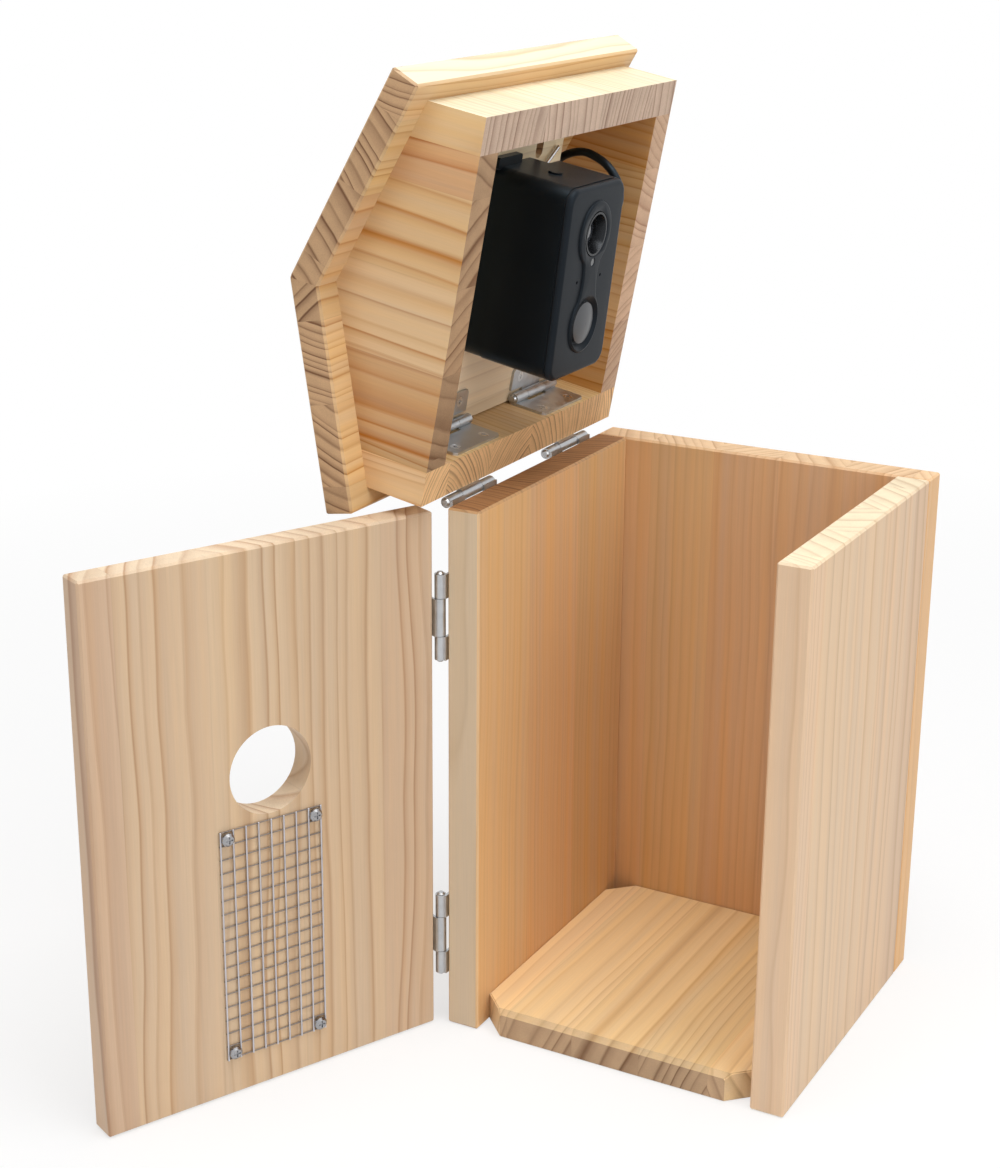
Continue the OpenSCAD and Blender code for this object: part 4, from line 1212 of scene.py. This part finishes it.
@dataclass
class NestCamera:
    """The camera on the hatch: a rounded lens face over the moulded shell."""

    length: float = 80.5
    width: float = 50.0
    corner: float = 7.0
    thickness: float = 2.6
    edge: float = 2.0
    relief: float = 1.0
    lens_x: float = 19.8
    lens_r: float = 9.3
    window_x: float = 18.2
    window_r: float = 8.8
    groove: float = 3.4
    waist: float = 13.0
    waist_r: float = 24.0
    sensor_x: float = 8.0
    sensor_r: float = 1.6
    hole_x: float = 0.8
    hole_y: float = 10.7
    lens_rim: float = 4.6
    window_rim: float = 0.6
    waist_x: float = 1.0
    below: float = -9.0
    above: float = 1.3
    edge_steps: int = 8
    smooth_below: float = math.radians(35)

    def build(self, shop: Workshop) -> None:
        """Dresses the camera's nodes and builds its rounded face.

        Args:
            shop: where the nodes and materials are.
        """
        shop.dress_all(["camera_foot", "camera_shell", "camera_button"], SHELL_BLACK)
        for node, finish in {
            "camera_seal": SEAL_BLACK, "circuit_board": BOARD_GREEN, "lens_barrel": BARREL_BLACK,
            "lens_ring": RING_DARK, "lens_glass": GLASS_DARK, "lower_window": WINDOW_GREY,
            "light_sensor": SENSOR_GREY,
        }.items():
            shop.dress_all([node], finish)
        shop.add(self.face(), Body.HATCH, "face_plastic", shop.shared(FACE_BLACK), "camera_face")

    def plate(self, inset: float) -> list[Point2]:
        """Returns the plate's outline, drawn in by an inset."""
        return rounded_outline(self.length - 2 * inset, self.width - 2 * inset, self.corner - inset)

    def figure(self, inset: float, steps: int = 96) -> list[Point2]:
        """Finds the outline of the raised figure: two lobes joined by a waist.

        Args:
            inset: how far the outline is drawn in.
            steps: points along each half.

        Returns:
            The outline, anticlockwise.
        """
        top_r = self.lens_r + self.lens_rim - inset
        low_r = self.window_r + self.groove + self.window_rim - inset
        right = self.lens_x + top_r
        left = -self.window_x - low_r
        circles = ((self.lens_x, top_r), (-self.window_x, low_r))

        def half(x: float) -> float:
            """Finds the half width of the figure.

            Args:
                x: place along the camera.

            Returns:
                The half width there.
            """
            lobes = [math.sqrt(max(r * r - (x - c) ** 2, 0.0)) for c, r in circles]
            waist = 0.0
            if -self.window_x < x < self.lens_x:
                arc = math.sqrt(max((self.waist_r + inset) ** 2 - (x - self.waist_x) ** 2, 0.0))
                waist = min(self.lens_r - inset, self.waist / 2 + self.waist_r - arc)
            return max(*lobes, waist)

        turns = [math.pi * (k + 0.5) / steps for k in range(steps)]
        xs = [(left + right) / 2 + (right - left) / 2 * math.cos(turn) for turn in turns]
        return [(x, half(x)) for x in xs] + [(x, -half(x)) for x in reversed(xs)]

    def stack(
        self, name: str, outline: Callable[[float], list[Point2]], steps: Sequence[Point2]
    ) -> bpy.types.Object:
        """Makes a piece from outlines that are stacked on the sloping face.

        Args:
            name: the object's name.
            outline: gives the outline for the first number of a step.
            steps: pairs of that number and the height.

        Returns:
            The linked object.
        """
        sections = [[CAMERA.on_face(x, y, height) for x, y in outline(size)] for size, height in steps]
        return mesh_piece(name, *loft(sections))

    def face(self) -> bpy.types.Object:
        """Makes the lens face with round edges, a soft raised figure and its openings.

        Returns:
            The linked object.
        """
        turns = [math.radians(90 / self.edge_steps * k) for k in range(self.edge_steps + 1)]
        bend = [(self.edge * (1 - math.cos(t)), -self.edge * (1 - math.sin(t))) for t in turns]
        piece = self.stack("lens_face", self.plate, [(0.0, -self.thickness)] + bend)
        soft = [(0.0, -1.0), (0.0, 0.15), (0.12, 0.45), (0.35, 0.75), (0.7, 0.93), (1.1, self.relief)]
        boolean(piece, self.stack("figure", self.figure, soft), "UNION")
        lens, window, sensor = self.lens_r, self.window_r, self.sensor_r
        low, top = self.below, self.above
        hole = [(0.7, -1.8), (0.7, 0.6), (0.9, top)]
        cuts = [
            ((self.lens_x, 0.0), [(lens, low), (lens, 0.55), (lens + 0.25, 0.85), (lens + 0.9, top)]),
            ((-self.window_x, 0.0), [
                (window + 0.15, low), (window + 0.15, -0.9), (window + 0.6, -0.9),
                (window + 2.2, 0.4), (window + self.groove, top)]),
            ((self.sensor_x, 0.0), [(sensor + 0.1, low), (sensor + 0.1, 0.7), (sensor + 0.4, top)]),
            ((self.hole_x, self.hole_y), hole),
            ((self.hole_x, -self.hole_y), hole),
        ]
        for centre, steps in cuts:
            cutter = self.stack("cutter", lambda r, c=centre: circle_outline(c, r), steps)
            boolean(piece, cutter, "DIFFERENCE")
        piece.data.shade_smooth()
        piece.data.set_sharp_from_angle(angle=self.smooth_below)
        return piece


@dataclass
class HatchBoard:
    """The hatch, its power pack and the lead between them."""

    lead_radius: float = 1.8
    lead_sides: int = 20
    steps: int = 10
    route: tuple[tuple[float, float, float], ...] = (
        (80, 109, 37.25), (80, 114, 37.2), (84, 121, 37), (93, 125, 36.5), (105, 126, 35),
        (117, 126, 31), (125, 125, 24.5), (129, 124, 16), (128.6, 123, 8), (126, 122, 1),
        (121, 121.5, -4.5), (114.5, 120.5, -7.2), (109.8, 117.5, -7.5), (108, 114, -7.5),
        (108, 112, -7.5),
    )

    def build(self, shop: Workshop) -> None:
        """Dresses the hatch and the pack, and builds the smooth lead.

        Args:
            shop: where the nodes and materials are.
        """
        finish = PineFinish("pine_hatch", 84.0, strip=0.045, contrast=0.35, early=(0.84, 0.68, 0.46))
        shop.dress_board("hatch_plate", finish, BoardAxes(ROOF.across, Y_AXIS))
        shop.dress_all(["battery_case", "battery_lid", "camera_plug", "battery_plug"], SHELL_BLACK)
        shop.dress_all(["battery_cell"], FOIL)
        shop.add(self.lead(), Body.HATCH, "lead_rubber", shop.shared(LEAD_BLACK), "lead")

    def lead(self) -> bpy.types.Object:
        """Makes the lead as a smooth tube along a spline through the CAD route.

        Returns:
            The linked object.
        """
        points = [ROOF.at(*p) for p in self.route]
        last = len(points) - 1
        path = []
        for i in range(last):
            a, b, c, d = (points[min(max(k, 0), last)] for k in (i - 1, i, i + 1, i + 2))
            for t in (k / self.steps for k in range(self.steps)):
                square, cube = 2 * a - 5 * b + 4 * c - d, 3 * (b - c) + d - a
                path.append(0.5 * (2 * b + t * (c - a) + t * t * square + t ** 3 * cube))
        path.append(points[-1])
        skin = tube(path, lambda _: self.lead_radius * MM, self.lead_sides)
        return mesh_piece("lead_tube", *skin)


@dataclass
class Studio:
    """Floor, lights, background and camera."""

    eye: Vector = Vector((0.3438568, -0.8079199, 0.4917362))
    yaw: float = -0.4998
    pitch: float = -0.3254
    roll: float = 0.0068
    focal_px: float = 2137.5411
    frame_px: float = 1000.0
    sensor_mm: float = 36.0
    clip: Point2 = (0.01, 60.0)
    floor_half: float = 6.0
    floor_drop: float = 0.0002
    paper: Colour = (0.93, 0.93, 0.93)
    paper_rough: float = 0.9
    paper_specular: float = 0.1
    target: Vector = Vector((0.0, 0.0, 0.2))
    fill: float = 0.36
    near_glow: float = 0.64
    shadow_reach: float = 0.30
    fade_reach: float = 0.95

    def build(self) -> None:
        """Builds the whole stage."""
        self.set_camera()
        self.set_world()
        self.set_floor()
        self.set_lights()

    def set_camera(self) -> None:
        """Places the camera where the photograph was taken from."""
        flat = math.cos(self.pitch)
        ahead = Vector((math.sin(self.yaw) * flat, math.cos(self.yaw) * flat, math.sin(self.pitch)))
        level = Vector((math.cos(self.yaw), -math.sin(self.yaw), 0.0))
        above = level.cross(ahead)
        right = level * math.cos(self.roll) + above * math.sin(self.roll)
        up = above * math.cos(self.roll) - level * math.sin(self.roll)
        data = bpy.data.cameras.new("photo_camera")
        data.sensor_fit = "HORIZONTAL"
        data.sensor_width = self.sensor_mm
        data.lens = self.focal_px / self.frame_px * self.sensor_mm
        data.clip_start, data.clip_end = self.clip
        camera = bpy.data.objects.new("photo_camera", data)
        turn = Matrix((right, up, -ahead)).transposed().to_4x4()
        camera.matrix_world = Matrix.Translation(self.eye) @ turn
        bpy.context.scene.collection.objects.link(camera)
        bpy.context.scene.camera = camera

    def plain_view(self, desk: NodeDesk) -> Socket:
        """Marks the rays that show the background: straight, mirrored or through glass.

        Args:
            desk: the desk of the tree that asks.

        Returns:
            1 for such rays and 0 for the others.
        """
        rays = desk.put("ShaderNodeLightPath").outputs
        seen = desk.math("MAXIMUM", rays["Is Camera Ray"], rays["Is Glossy Ray"])
        return desk.math("MAXIMUM", seen, rays["Is Transmission Ray"])

    def set_world(self) -> None:
        """Makes a white background and a soft even fill."""
        world = bpy.data.worlds.new("studio")
        world.use_nodes = True
        desk = NodeDesk(world.node_tree)
        shade = world.node_tree.nodes["Background"]
        shade.inputs["Color"].default_value = (1.0, 1.0, 1.0, 1.0)
        desk.feed(shade.inputs["Strength"], desk.span(self.plain_view(desk), 0.0, 1.0, self.fill))
        bpy.context.scene.world = world
        bpy.context.scene.view_settings.view_transform = "Standard"

    def set_floor(self) -> None:
        """Lays a white floor that keeps a soft shadow."""
        r = self.floor_half
        corners = [Vector(p) for p in ((-r, -r, 0), (r, -r, 0), (r, r, 0), (-r, r, 0))]
        floor = mesh_piece("studio_floor", corners, [[0, 1, 2, 3]], smooth=False)
        floor.location.z = -self.floor_drop
        material, desk, shader = new_material("floor_paper")
        desk.feed(shader.inputs["Base Color"], self.paper)
        shader.inputs["Roughness"].default_value = self.paper_rough
        shader.inputs["Specular IOR Level"].default_value = self.paper_specular
        glow = desk.put("ShaderNodeEmission", {"Color": (1.0, 1.0, 1.0), "Strength": 1.0})
        place = desk.put("ShaderNodeTexCoord").outputs["Object"]
        distance = desk.vector("LENGTH", place).outputs["Value"]
        share = desk.span(distance, self.shadow_reach, self.fade_reach, self.near_glow)
        mix = desk.put("ShaderNodeMixShader", {
            0: desk.times(self.plain_view(desk), share), 1: shader.outputs[0], 2: glow.outputs[0]})
        desk.feed(material.node_tree.nodes["Material Output"].inputs["Surface"], mix.outputs[0])
        floor.data.materials.append(material)

    def set_lights(self) -> None:
        """Hangs the soft boxes, each with its place, size and power."""
        boxes = (
            ("top_box", (0.25, -0.15, 1.7), 1.3, 22.0),
            ("side_box", (1.7, -0.55, 0.95), 1.1, 9.2),
            ("front_box", (-0.9, -1.75, 0.9), 1.2, 5.4),
        )
        for name, place, size, power in boxes:
            data = bpy.data.lights.new(name, "AREA")
            data.shape = "SQUARE"
            data.size = size
            data.energy = power
            lamp = bpy.data.objects.new(name, data)
            lamp.location = place
            lamp.rotation_euler = (self.target - Vector(place)).to_track_quat("-Z", "Y").to_euler()
            bpy.context.scene.collection.objects.link(lamp)


def main() -> None:
    """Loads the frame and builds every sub-assembly in order."""
    logging.basicConfig(level=logging.INFO, format="%(name)s: %(message)s")
    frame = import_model()
    Studio().build()
    build_ring_group()
    build_fleck_group()
    build_brush_group()
    shop = Workshop(frame["nodes"])
    for part in (NestRoom(), Door(), GableRoof(), Ironwork(), NestCamera(), HatchBoard()):
        part.build(shop)
        LOG.info("%s is built", type(part).__name__)


if __name__ == "__main__":
    main()
